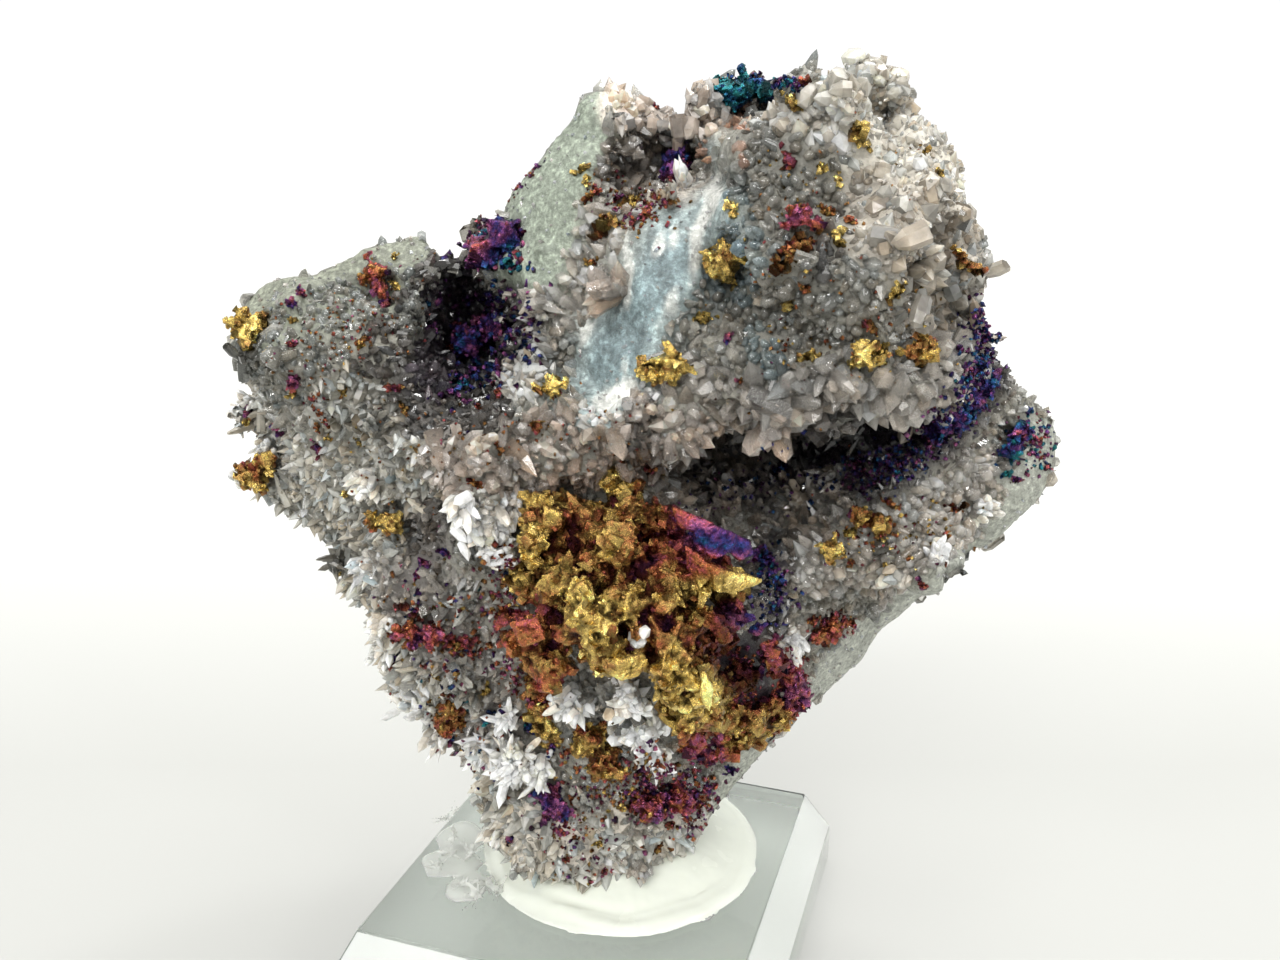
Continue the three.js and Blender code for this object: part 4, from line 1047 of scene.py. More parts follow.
# The knots: place in the frame, size in mm and film.
GRAINS = [
    ("crown olive", 861, 138, 1.9, 0.14), ("crown speck", 793, 100, 1.3, 0.14),
    ("crown edge", 920, 156, 1.1, 0.16), ("crown gold", 939, 174, 0.9, 0.06),
    ("lobe red, top", 789, 163, 1.7, 0.46), ("lobe gold, top", 820, 168, 1.3, 0.08),
    ("lobe bright", 837, 180, 0.9, 0.0), ("lobe brown", 826, 213, 1.3, 0.28),
    ("lobe brown, right", 852, 222, 1.1, 0.4), ("lobe gold", 839, 241, 1.6, 0.05),
    ("lobe yellow", 735, 212, 1.4, 0.03), ("ridge left", 708, 262, 1.6, 0.04),
    ("rod", 793, 253, 1.6, 0.3), ("rod's head", 808, 243, 1.1, 0.36), ("rod's foot", 776, 262, 1.1, 0.3),
    ("under the rod", 788, 303, 1.3, 0.1), ("under it, right", 806, 286, 1.1, 0.3),
    ("lobe flank", 899, 291, 1.4, 0.1), ("flank brown", 966, 262, 1.9, 0.22),
    ("flank low", 946, 323, 1.6, 0.16), ("lobe dark", 868, 323, 1.2, 0.44),
    ("left brow", 703, 319, 1.4, 0.06), ("magenta", 729, 338, 1.0, 0.55), ("brow", 808, 360, 1.6, 0.1),
    ("brow, right", 882, 350, 1.4, 0.08), ("brow, far right", 925, 355, 1.8, 0.28),
    ("brow speck", 741, 386, 1.1, 0.36), ("saddle gold", 670, 361, 1.2, 0.05),
    ("saddle speck", 641, 360, 0.7, 0.02), ("band gold", 553, 385, 1.4, 0.04),
    ("band brown", 499, 397, 1.4, 0.36), ("band brown, left", 478, 408, 1.0, 0.38),
    ("band dark", 535, 428, 1.5, 0.3), ("band low", 500, 446, 1.3, 0.28),
    ("band low, right", 478, 485, 1.0, 0.3), ("hollow's lip", 405, 408, 1.0, 0.2),
    ("hollow red", 395, 387, 1.2, 0.46), ("left brown", 360, 342, 1.2, 0.3),
    ("copper, low", 372, 290, 1.4, 0.44), ("hollow purple", 388, 302, 1.5, 0.62),
    ("left gold-green", 396, 285, 1.1, 0.1), ("left speck", 394, 259, 0.8, 0.05),
    ("left purple", 291, 304, 1.2, 0.64), ("left purple, low", 300, 292, 0.9, 0.6),
    ("tip brown", 264, 318, 1.7, 0.22), ("left olive", 292, 322, 0.9, 0.12),
    ("left red", 293, 345, 0.9, 0.48), ("left pink", 297, 378, 1.5, 0.5),
    ("left pink, foot", 293, 392, 1.0, 0.2), ("left thread 1", 313, 415, 0.8, 0.44),
    ("left thread 2", 318, 428, 0.8, 0.3), ("left bronze", 341, 390, 0.9, 0.24),
    ("edge purple", 250, 412, 1.5, 0.66), ("edge purple, low", 280, 428, 1.4, 0.64),
    ("edge red", 262, 430, 1.1, 0.42), ("edge gold", 222, 418, 1.1, 0.12),
    ("mid purple", 321, 450, 1.5, 0.64), ("speck 1", 417, 449, 0.6, 0.1),
    ("speck 2", 361, 442, 0.7, 0.06), ("speck 3", 328, 438, 0.6, 0.12),
    ("fork speck", 346, 492, 1.0, 0.1), ("fork red", 478, 484, 1.0, 0.3),
    ("violet chip", 425, 562, 1.4, 0.66), ("violet chip, right", 446, 552, 1.1, 0.7),
    ("violet chip, low", 418, 575, 0.9, 0.62), ("left edge gold", 335, 575, 0.8, 0.08),
    ("streak gold 1", 412, 616, 0.7, 0.02), ("streak gold 2", 425, 615, 0.7, 0.04),
    ("streak red", 398, 606, 1.0, 0.42), ("streak tail", 466, 640, 1.3, 0.44),
    ("streak tail, gold", 458, 648, 1.0, 0.2), ("blue chip", 397, 656, 1.2, 0.84),
    ("blue chip's red", 391, 663, 1.0, 0.44), ("yellow bead", 438, 693, 1.1, 0.02),
    ("bead's gold", 436, 675, 0.9, 0.14), ("gold chip", 486, 687, 1.6, 0.12),
    ("teal chip", 470, 702, 1.5, 0.93), ("teal chip, right", 488, 716, 1.6, 0.86),
    ("teal chip, left", 466, 690, 1.1, 0.96), ("blue foot", 494, 776, 1.0, 0.9),
    ("dark foot", 476, 766, 1.0, 0.7), ("corner violet", 448, 738, 1.4, 0.66),
    ("column blue", 527, 726, 1.1, 0.8), ("below column", 552, 748, 1.3, 0.74),
    ("below column, left", 545, 728, 1.0, 0.62), ("lower brown", 570, 752, 1.3, 0.38),
    ("foot purple 1", 548, 800, 1.6, 0.68), ("foot purple 2", 543, 822, 1.5, 0.62),
    ("foot purple 3", 560, 830, 1.2, 0.54), ("foot pink", 565, 822, 0.8, 0.5),
    ("foot dark", 512, 838, 1.3, 0.6), ("foot brown", 575, 800, 1.2, 0.3),
    ("foot gold 1", 598, 842, 1.0, 0.14), ("foot gold 2", 592, 850, 0.7, 0.2),
    ("foot red", 603, 870, 1.1, 0.5), ("foot speck", 567, 858, 0.9, 0.44),
    ("foot speck, right", 657, 848, 1.2, 0.3), ("lower purple", 655, 790, 1.6, 0.7),
    ("lower violet", 672, 784, 1.3, 0.76), ("lower red", 650, 812, 1.5, 0.44),
    ("lower copper", 668, 822, 1.4, 0.36), ("lower red, right", 690, 808, 1.2, 0.4),
    ("lower brown, left", 632, 806, 1.3, 0.4), ("lower gold, right", 622, 808, 1.0, 0.1),
    ("side dark", 726, 770, 1.3, 0.7), ("rim purple", 700, 752, 1.6, 0.5),
    ("rim purple, right", 730, 752, 1.3, 0.56), ("ring red", 788, 672, 1.3, 0.5),
    ("ring purple", 796, 690, 1.1, 0.62), ("patch left", 812, 618, 1.2, 0.44),
    ("patch low", 826, 640, 1.4, 0.3), ("patch right", 852, 622, 1.1, 0.4),
    ("patch violet", 810, 640, 0.8, 0.66), ("shelf gold, left", 850, 532, 1.4, 0.05),
    ("shelf gold", 886, 524, 1.4, 0.04), ("shelf gold, low", 884, 543, 1.1, 0.08),
    ("shelf copper", 950, 508, 1.6, 0.36), ("shelf copper, low", 955, 520, 1.1, 0.5),
    ("shelf magenta", 857, 512, 1.4, 0.58), ("shelf pink", 862, 520, 0.9, 0.46),
    ("shelf brown", 888, 500, 1.2, 0.3), ("shelf brown, low", 851, 562, 1.0, 0.36),
    ("shelf red", 924, 584, 1.0, 0.46), ("hollow copper", 650, 466, 1.6, 0.42),
    ("hollow gold", 655, 478, 1.2, 0.1), ("hollow blue 1", 770, 560, 1.3, 0.8),
    ("hollow blue 2", 738, 492, 1.0, 0.82), ("hollow blue 3", 782, 470, 1.2, 0.8),
    ("edge blue", 1030, 412, 1.3, 0.84), ("edge pink", 1035, 440, 1.2, 0.42),
    ("edge violet", 1018, 432, 1.2, 0.68), ("edge teal", 1008, 448, 1.1, 0.94),
    ("edge violet, low", 1015, 480, 1.0, 0.62), ("edge teal, low", 1004, 474, 1.1, 0.96),
    ("vug gold 1", 584, 170, 1.2, 0.06), ("vug gold 2", 586, 182, 0.9, 0.02),
    ("vug copper", 590, 197, 1.3, 0.36), ("vug magenta", 611, 202, 1.1, 0.5),
    ("vug rod 1", 614, 222, 1.4, 0.24), ("vug rod 2", 624, 212, 1.4, 0.2),
    ("vug rod 3", 634, 203, 1.1, 0.14), ("vug violet", 676, 158, 2.0, 0.76),
    ("vug violet, low", 680, 178, 1.5, 0.78), ("vug brown", 648, 213, 1.2, 0.42),
    ("slope bronze", 592, 262, 1.0, 0.26), ("top speck 1", 690, 115, 0.7, 0.16),
    ("top speck 2", 656, 99, 0.6, 0.5), ("top pink", 803, 84, 1.1, 0.5), ("top teal", 745, 80, 1.5, 0.96),
    ("top blue", 766, 76, 1.5, 0.88), ("top green", 722, 82, 1.2, 1.0), ("top violet", 785, 82, 1.2, 0.7),
    ("notch pink", 497, 250, 1.2, 0.56), ("notch blue", 505, 238, 1.2, 0.8),
    ("notch teal", 512, 266, 1.3, 0.92), ("notch violet", 470, 240, 1.3, 0.64),
    ("notch magenta", 476, 233, 1.1, 0.56), ("cleft violet", 497, 312, 1.3, 0.7),
    ("cleft red", 460, 350, 1.5, 0.42), ("cleft violet, left", 430, 330, 1.4, 0.66),
    ("cleft blue", 455, 385, 1.3, 0.82), ("cleft purple", 512, 335, 1.3, 0.72),
    ("cleft brown", 455, 325, 1.3, 0.44),
]
GRAIN_WEDGES, GRAIN_SCATTER = 20, 0.35


def ore_heap(name, places, normals, sizes, films, lean, dice, slot):
    """A piece of loose wedges, each with its own film, with painted shade toward its root."""
    (corners, triangles), owners, rises = wedges_on(places, normals, sizes, lean, dice)
    piece = mesh_of(name, corners, triangles)
    shades = np.exp(dice.normal(0, GRAIN_SCATTER, len(sizes)))
    # Painted shade toward the root of each wedge, and a random tone apart.
    dress_ore(piece, films[owners], shades[owners] * (0.15 + 0.8 * rises))
    return piece


places, normals, sizes, films = [], [], [], []
for name, px, py, size, film in GRAINS:
    place, normal = seat(px, py)
    around = unit(dice.normal(size=(GRAIN_WEDGES, 3)) + 0.6 * np.array(normal))
    stretch = unit(dice.normal(size=(1, 3))) * dice.normal(0, 0.35, (GRAIN_WEDGES, 1))
    centre = np.array(place + normal * size * 0.12 * MM)
    places.append(centre + (around * dice.uniform(0.05, 0.36, (GRAIN_WEDGES, 1)) + stretch) * size * MM)
    normals.append(around)
    sizes.append(size * MM * dice.uniform(0.16, 0.36, GRAIN_WEDGES))
    films.append(film + dice.normal(0, 0.07, GRAIN_WEDGES))

# The rods: their ends in the frame, width in mm and film.
RODS = [
    ("under the upper hollow", (602, 234), (640, 202), 1.0, 0.22),
    ("beside it", (606, 226), (634, 206), 0.7, 0.14),
    ("on the lobe", (772, 266), (812, 240), 0.7, 0.3),
    ("on the lobe, top", (780, 256), (806, 238), 0.5, 0.36),
    ("in the left streak", (400, 600), (470, 642), 0.5, 0.44),
]
ROD_WEDGES, ROD_END, ROD_HIGH = 9, 0.85, 0.8
for name, start, end, width, film in RODS:
    (first, up), (last, _) = seat(*start), seat(*end)
    for share in np.linspace(0, ROD_END, ROD_WEDGES):
        place = first.lerp(last, share) + up * ROD_HIGH * MM
        places.append(np.array([place]) + dice.normal(0, 0.12, (1, 3)) * MM)
        normals.append(np.array([(last - first).normalized()]))
        sizes.append(np.array([width * MM * dice.uniform(0.8, 1.2)]))
        films.append(np.array([film + dice.normal(0, 0.05)]))
columns = [np.concatenate(rows) for rows in (places, normals, sizes, films)]
grains = ore_heap("ore_grains", *columns, 0.5, dice, "chalcopyrite_gold")

# ---------------------------------------------------------------- the druse
# Thousands of little quartz crystals, six-sided and pointed, grown out from the plate and through each
# other. They are stubby and worn on the lobes, long and white in the tufts, and dark in the hollows.

# Every crystal ends in a point: its radius and its height.
CRYSTAL_POINT = (0.02, 1.0)


def model_crystal(name, rings, tip):
    """A six-sided crystal from its rings of radius and height, and how far its point is off the middle."""
    bpy.ops.mesh.primitive_circle_add(vertices=6, radius=rings[0][0], location=(0, 0, 0))
    crystal = bpy.context.object
    crystal.name = name
    bpy.ops.object.mode_set(mode="EDIT")
    bpy.ops.mesh.select_all(action="SELECT")
    for (radius, height), (above, top) in zip(rings, rings[1:] + [CRYSTAL_POINT]):
        bpy.ops.mesh.extrude_region_move(TRANSFORM_OT_translate={"value": (0, 0, top - height)})
        bpy.ops.transform.resize(value=(above / radius, above / radius, 1), center_override=(0, 0, top))
    bpy.ops.mesh.merge(type="CENTER")
    bpy.ops.mesh.select_all(action="SELECT")
    bpy.ops.mesh.normals_make_consistent(inside=False)
    bpy.ops.object.mode_set(mode="OBJECT")
    crystal.data.vertices[len(crystal.data.vertices) - 1].co.x += tip
    shape = arrays_of(crystal)
    bpy.data.objects.remove(crystal)
    return shape


CRYSTALS = [
    model_crystal("prism", [(1.0, 0.0), (0.96, 0.68)], 0.15),
    model_crystal("leaning point", [(1.0, 0.0), (0.95, 0.5)], -0.3),
    model_crystal("stepped point", [(1.0, 0.0), (0.92, 0.6), (0.5, 0.88)], 0.25),
    model_crystal("needle", [(0.9, 0.0), (0.8, 0.86)], 0.1),
]

# Worn crystals, their edges rounded off.
WORN_CRYSTALS = [
    model_crystal("worn point", [(0.9, 0.0), (1.0, 0.45), (0.72, 0.82)], 0.12),
    model_crystal("worn stub", [(0.85, 0.0), (1.0, 0.5), (0.85, 0.86)], -0.2),
    model_crystal("worn drop", [(0.8, 0.0), (0.95, 0.4), (0.5, 0.84)], 0.2),
]
WORN_ZONES = ["crown", "right flank of the lobe", "face of the lobe", "shaded flank", "shelf", "summit",
              "left lobe"]
FUSED_TINTS = ["crown", "flank", "grey"]

# The druse by place: course in the frame and reach, then spacing, length and radius in mm, lean and tint.
DRUSE = [
    ("crown", [(868, 62), (895, 125), (930, 185)], 56, 0.95, 2.0, 0.85, 0.35, "crown"),
    ("head of the lobe", [(750, 128), (800, 120), (835, 122)], 32, 0.9, 1.9, 0.75, 0.4, "head"),
    ("middle of the lobe", [(800, 205), (835, 240), (815, 282)], 34, 0.9, 1.8, 0.6, 0.5, "soot"),
    ("below the crest", [(705, 312), (725, 345)], 26, 0.9, 1.8, 0.6, 0.5, "ice"),
    ("right flank of the lobe", [(880, 215), (925, 215), (962, 250), (935, 292)], 50,
     1.05, 2.4, 0.9, 0.5, "flank"),
    ("face of the lobe", [(760, 125), (790, 200), (815, 285), (745, 320)], 62, 0.9, 1.8, 0.6, 0.5, "mist"),
    ("shaded flank", [(735, 225), (745, 290), (760, 340)], 40, 0.8, 1.6, 0.5, 0.5, "slate"),
    ("fringe, left", [(700, 395), (745, 415), (785, 435)], 34, 1.3, 3.6, 0.95, 0.55, "fringe"),
    ("fringe", [(800, 392), (850, 376), (900, 400), (945, 385), (968, 350)], 34,
     1.35, 3.8, 0.98, 0.55, "fringe"),
    # Painted shadow under the lobe's fringe.
    ("under the fringe", [(800, 434), (850, 422)], 22, 1.2, 2.4, 0.8, 0.55, "smoke"),
    # Painted shade beside the ore.
    ("beside the ore", [(772, 555), (776, 612)], 30, 1.0, 2.2, 0.6, 0.6, "smoke"),
    ("crumbs under the cleavage", [(588, 420), (612, 400), (640, 385)], 22, 0.6, 1.0, 0.45, 0.9, "milk"),
    ("floor of the upper hollow", [(600, 150), (640, 150), (650, 190)], 40, 1.0, 1.9, 0.65, 0.6, "taupe"),
    ("rim of the upper hollow", [(610, 110), (690, 112), (722, 112)], 28, 1.0, 1.8, 0.75, 0.4, "pale blush"),
    ("iron stain", [(752, 96), (742, 118), (730, 150)], 26, 0.9, 1.6, 0.6, 0.5, "rust"),
    # Painted shade in the hole in the ore.
    ("hole in the ore", [(738, 660), (748, 700)], 34, 3.0, 1.2, 0.5, 0.6, "ink"),
    ("slope", [(600, 240), (590, 285), (520, 325)], 34, 1.1, 2.6, 0.7, 0.7, "ivory"),
    # Partly a dark coating of ore in the hollow, partly painted shade.
    ("left hollow", [(440, 300), (470, 335), (430, 385)], 46, 1.2, 1.8, 0.6, 0.6, "ink"),
    ("left of the hollow", [(430, 262), (385, 310), (375, 365), (420, 420)], 30, 0.9, 1.8, 0.5, 0.6, "soot"),
    ("under the hollow", [(445, 418), (480, 416)], 36, 0.9, 1.8, 0.5, 0.6, "soot"),
    ("right wall of the hollow", [(532, 300), (528, 372)], 26, 0.9, 1.8, 0.5, 0.6, "milk"),
    ("shade beside the tuft", [(425, 510), (432, 545)], 28, 0.85, 1.8, 0.46, 0.6, "smoke"),
    ("left lobe", [(280, 345), (350, 300), (400, 290)], 60, 0.85, 2.0, 0.68, 0.5, "grey"),
    ("left fringe", [(238, 400), (238, 440), (262, 505), (300, 540)], 32, 0.9, 2.6, 0.45, 0.9, "field"),
    ("left field", [(330, 470), (400, 500), (370, 400)], 60, 0.85, 1.8, 0.46, 0.6, "field"),
    ("band", [(430, 462), (500, 468), (560, 440), (640, 430), (700, 425)], 36, 1.1, 2.4, 0.75, 0.5, "blush"),
    ("band, low", [(560, 465), (640, 455)], 22, 1.1, 2.4, 0.7, 0.5, "tan"),
    ("right hollow", [(690, 470), (740, 490), (790, 500), (820, 530)], 44, 1.2, 2.8, 0.68, 0.7, "taupe"),
    # Painted shade under the lobe's overhang.
    ("roof of the right hollow", [(800, 445), (880, 440)], 24, 1.4, 2.2, 0.6, 0.6, "ink"),
    ("right arm", [(870, 478), (945, 440), (988, 375), (990, 318)], 30, 1.2, 1.4, 0.5, 0.8, "smoke"),
    ("shelf", [(825, 585), (880, 560), (940, 540), (985, 500)], 56, 1.0, 2.0, 0.65, 0.5, "ivory"),
    ("shelf, low", [(800, 600), (860, 600)], 30, 1.0, 2.0, 0.6, 0.5, "pewter"),
    ("foot", [(500, 800), (560, 860), (640, 860), (695, 830)], 46, 1.1, 2.6, 0.7, 0.6, "field"),
    ("lower left", [(400, 590), (450, 610), (480, 655), (490, 740)], 44, 1.1, 2.1, 0.5, 0.8, "ivory"),
    ("left flank", [(330, 560), (355, 600), (400, 700), (450, 780)], 34, 0.9, 2.8, 0.5, 0.6, "field"),
    ("below the ore", [(640, 820), (700, 780), (720, 760)], 30, 1.0, 2.0, 0.55, 0.6, "pewter"),
]
DRUSE_ELSEWHERE = (0.95, 1.9, 0.52, 0.55, "ice")
DRUSE_BEHIND = (1.9, 2.2, 0.8, 0.6, "ice")
BARE_ABOVE = 0.3
CANDIDATES = 90000
CROWDED = 0.8
HIGH_ABOVE = 66 * MM
MILKY_TINTS = ["milk", "cream", "crown", "flank", "field", "head", "pale blush"]
DARK_TINTS = ["ink", "smoke", "taupe"]
# Where the painted shade is held up: the tufts are not shaded at all, and these zones no darker than a least
# share.
LIT_ZONES = ["rim of the upper hollow", "head of the lobe", "right wall of the hollow"]
TUFT_SHADE, LIT_SHADE = 1.0, 0.72

# Rosettes and sprays of longer crystals: place in the frame, how many, length, radius and spread in mm,
# how widely they fan, how far in front of the rock in mm, tint.
TUFTS = [
    ("pale tuft", 478, 508, 130, 2.7, 0.55, 3.6, 1.1, 2.2, "milk"),
    ("pale tuft, low", 492, 548, 80, 2.5, 0.5, 2.6, 1.0, 2.0, "milk"),
    ("pale tuft, right", 512, 500, 44, 2.4, 0.5, 2.0, 1.0, 2.2, "milk"),
    ("pale tuft, left", 464, 500, 40, 2.3, 0.5, 1.8, 1.0, 1.3, "milk"),
    ("rosette", 645, 730, 130, 2.8, 0.62, 2.7, 1.6, 2.6, "milk"),
    ("rosette, top", 630, 700, 60, 2.4, 0.6, 1.9, 1.5, 2.2, "milk"),
    ("rosette, left", 576, 700, 84, 2.6, 0.6, 2.2, 1.6, 2.2, "milk"),
    ("rosette, low", 655, 756, 50, 2.4, 0.6, 1.8, 1.5, 2.0, "milk"),
    ("lower spray", 512, 762, 84, 3.4, 0.55, 2.6, 1.5, 1.8, "milk"),
    ("lower spray, left", 482, 748, 54, 3.0, 0.5, 2.1, 1.3, 1.4, "milk"),
    ("lower spray, right", 538, 768, 46, 3.0, 0.55, 1.6, 1.5, 1.6, "milk"),
    ("lower spray, top", 470, 690, 24, 2.8, 0.5, 2.0, 1.3, 1.0, "ice"),
    ("beside the column", 508, 716, 30, 2.6, 0.5, 1.5, 1.4, 1.0, "milk"),
    ("left spray", 243, 446, 22, 2.4, 0.45, 1.2, 0.8, 0.4, "milk"),
    ("left spray, top", 246, 402, 14, 2.0, 0.45, 0.9, 0.8, 0.4, "milk"),
    ("hollow's spray", 686, 184, 7, 3.0, 0.7, 0.8, 0.8, 1.4, "milk"),
    ("hollow's spray, low", 670, 202, 8, 2.2, 0.6, 0.9, 0.8, 0.8, "cream"),
    ("bright cluster", 980, 508, 34, 2.2, 0.6, 2.0, 0.9, 0.4, "milk"),
    ("bright cluster, low", 936, 560, 24, 2.2, 0.6, 1.6, 0.9, 0.4, "milk"),
    ("beside the spur", 792, 640, 40, 2.6, 0.55, 1.6, 1.4, 1.0, "milk"),
    ("fringe fan", 910, 408, 34, 3.4, 0.95, 2.2, 1.1, 1.0, "cream"),
    ("fringe fan, right", 938, 392, 26, 3.2, 0.9, 2.1, 1.1, 1.0, "cream"),
    ("fringe fan, left", 770, 420, 24, 3.2, 0.9, 2.1, 1.1, 1.0, "blush"),
    ("fringe fan, middle", 835, 382, 22, 3.2, 0.9, 2.1, 1.0, 0.9, "fringe"),
    ("big crystals", 918, 272, 16, 3.6, 1.0, 2.2, 0.7, 0.0, "crown"),
    ("flank fan", 965, 340, 14, 3.2, 0.8, 1.4, 1.0, 0.4, "blush"),
    ("summit", 874, 82, 12, 2.2, 0.9, 1.3, 0.6, -0.6, "crown"),
    ("slope fan", 612, 292, 18, 3.8, 0.9, 1.7, 1.1, 0.8, "blush"),
    ("slope fan, left", 545, 305, 14, 3.2, 0.7, 1.3, 1.0, 0.6, "ivory"),
    ("slope spray", 500, 318, 10, 3.4, 0.4, 0.8, 1.0, 0.6, "milk"),
    ("field tuft", 368, 562, 30, 2.4, 0.55, 2.0, 1.0, 0.5, "milk"),
    ("field tuft, high", 372, 428, 26, 2.0, 0.45, 2.0, 1.1, 0.3, "field"),
    ("field tuft, top", 370, 480, 26, 2.0, 0.55, 2.0, 1.0, 0.5, "milk"),
    ("lower left tuft", 470, 600, 18, 2.8, 0.5, 1.6, 1.1, 0.6, "ice"),
    ("chip on the shell", 634, 640, 3, 2.8, 0.7, 0.8, 0.8, 0.3, "milk"),
    ("foot tuft", 500, 828, 24, 2.6, 0.6, 1.7, 1.0, 0.5, "milk"),
    ("foot tuft, right", 640, 865, 16, 2.6, 0.7, 1.5, 0.9, 0.4, "ivory"),
    ("foot tuft, middle", 590, 800, 18, 3.0, 0.6, 1.2, 1.2, 0.8, "ice"),
    ("band seeds", 640, 408, 14, 3.0, 0.8, 1.6, 0.9, 0.5, "blush"),
    ("band seeds, left", 470, 455, 16, 3.2, 0.9, 2.0, 0.9, 0.6, "blush"),
    ("left flank", 380, 650, 20, 2.6, 0.5, 1.9, 1.0, 0.4, "milk"),
    ("left flank, low", 430, 745, 24, 3.0, 0.55, 1.9, 1.1, 0.5, "milk"),
    ("lower left spray", 418, 700, 34, 3.0, 0.55, 2.3, 1.2, 0.8, "milk"),
    ("lower left spray, top", 385, 622, 26, 2.6, 0.5, 1.8, 1.1, 0.6, "milk"),
    ("lower left spray, right", 452, 668, 20, 2.6, 0.5, 1.4, 1.2, 0.8, "ice"),
    ("left edge", 226, 410, 12, 1.8, 0.55, 0.9, 0.6, 0.3, "milk"),
    ("left edge, low", 234, 480, 14, 1.8, 0.55, 1.0, 0.6, 0.3, "milk"),
    ("shelf seeds", 900, 572, 20, 2.2, 0.7, 2.4, 0.8, 0.3, "cream"),
    ("hollow seeds", 730, 500, 22, 2.6, 0.6, 2.6, 0.9, 0.3, "blush"),
    ("hollow seeds, right", 800, 500, 16, 2.4, 0.6, 2.4, 0.9, 0.3, "cream"),
]


def open_grid(spacing):
    """A test of whether a place is clear of those already taken, in cells of a size."""
    taken = {}

    def clear(place, reach):
        key = tuple(int(math.floor(c / spacing)) for c in place)
        near = [taken.get((key[0] + i, key[1] + j, key[2] + k), ())
                for i in (-1, 0, 1) for j in (-1, 0, 1) for k in (-1, 0, 1)]
        if any(math.dist(place, other) < reach for cell in near for other in cell):
            return False
        taken.setdefault(key, []).append(place)
        return True

    return clear


dice = np.random.default_rng(23)
places, normals, _ = surface_points(rock, CANDIDATES, dice)
shown = on_show_side(places, normals)
wavy = wavy_sight(places, EDGE_SWAY)
bare = np.max([near_stroke(wavy, path, reach) for _, path, reach in SMOOTH_PLACES], axis=0) * shown
pull = np.array([near_stroke(wavy, path, reach) for _, path, reach, *_ in DRUSE]) * shown
zone = np.where(pull.max(0) > 0, pull.argmax(0), len(DRUSE))
zone = np.where(shown, zone, len(DRUSE) + 1)
kinds = [row[3:] for row in DRUSE] + [DRUSE_ELSEWHERE, DRUSE_BEHIND]
behind_patches = mottle(places, 14 * MM, 41) > 0.05
clear = open_grid(1.9 * MM)
ore_tree = tree_of(np.concatenate([corners_of(piece)[0] for piece in [core, grains] + mass_pieces]))

kept = []
for i in range(CANDIDATES):
    if bare[i] > BARE_ABOVE or (not shown[i] and not behind_patches[i]):
        continue
    spacing, _, radius, *_ = kinds[zone[i]]
    off_the_ore = ore_tree.find(places[i])[2] > radius * CROWDED * MM
    if off_the_ore and clear(tuple(places[i]), spacing * CROWDED * MM):
        kept.append(i)
kept = np.array(kept)
places, normals, zone = places[kept], normals[kept], zone[kept]
growth = np.clip(dice.normal(0, 0.28, len(kept)), -0.6, 0.25)
lengths = np.array([kinds[z][1] for z in zone]) * MM * np.exp(growth + dice.normal(0, 0.2, len(kept)))
radii = np.array([kinds[z][2] for z in zone]) * MM * np.exp(growth + dice.normal(0, 0.12, len(kept)))
leans = np.array([kinds[z][3] for z in zone])[:, None]
axes = unit(normals + leans * dice.normal(size=places.shape) * 0.6)
tints = np.array([TINTS[kinds[z][4]] for z in zone])
zone_tints = np.array([kinds[z][4] for z in zone])
zone_names = np.array([row[0] for row in DRUSE] + ["elsewhere", "behind"])[zone]
behind = zone == len(DRUSE) + 1
tufted = np.zeros(len(kept), bool)
fused = np.isin(zone_tints, FUSED_TINTS)
sunk = np.where(fused, dice.uniform(0.66, 0.9, len(kept)), 0.5)
radii *= np.where(fused, np.exp(-0.5 * np.maximum(growth, 0)), 1)

TUFT_TURNED, TUFT_SPREAD, TUFT_SUNK = 0.3, 0.3, 0.15
ore_view = BVHTree.FromObject(core, bpy.context.evaluated_depsgraph_get())
for name, px, py, count, length, radius, reach, fan, ahead, tint in TUFTS:
    place, normal = seat(px, py)
    met = ore_view.ray_cast(EYE, sight(px, py))
    if met[0] and (met[0] - EYE).length < (place - EYE).length:
        place, normal = met[:2]
    fanned = fan * unit(dice.normal(size=(count, 3))) * dice.uniform(0.3, 1, (count, 1))
    toward = np.array((EYE - place).normalized())
    spray = unit(np.array(normal) + fanned) + TUFT_TURNED * toward
    feet = np.array(place) + toward * ahead * MM + spray * reach * TUFT_SPREAD * MM
    feet += dice.normal(0, reach * TUFT_SPREAD, (count, 3)) * MM
    places, axes = np.concatenate([places, feet]), np.concatenate([axes, unit(spray)])
    normals = np.concatenate([normals, np.tile(normal, (count, 1))])
    lengths = np.concatenate([lengths, length * MM * dice.uniform(0.55, 1.1, count)])
    radii = np.concatenate([radii, radius * MM * dice.uniform(0.6, 1.2, count)])
    tints = np.concatenate([tints, np.tile(TINTS[tint], (count, 1))])
    behind = np.concatenate([behind, np.zeros(count, bool)])
    tufted = np.concatenate([tufted, np.full(count, tint == "milk")])
    zone_tints = np.concatenate([zone_tints, np.full(count, tint)])
    zone_names = np.concatenate([zone_names, np.full(count, name)])
    sunk = np.concatenate([sunk, np.full(count, TUFT_SUNK)])

FACET_REFLECTION_SPREAD, LIGHTEST = 0.18, 0.97
CLEAR_LIGHTENED = 0.65


def facets_of(shape):
    """Which flat face of a shape each of its triangles belongs to."""
    corners, triangles = shape
    a, b, c = (corners[triangles[:, i]] for i in range(3))
    facing = np.round(unit(np.cross(b - a, c - a)), 1) + 0.0
    return np.unique(facing, axis=0, return_inverse=True)[1].ravel()


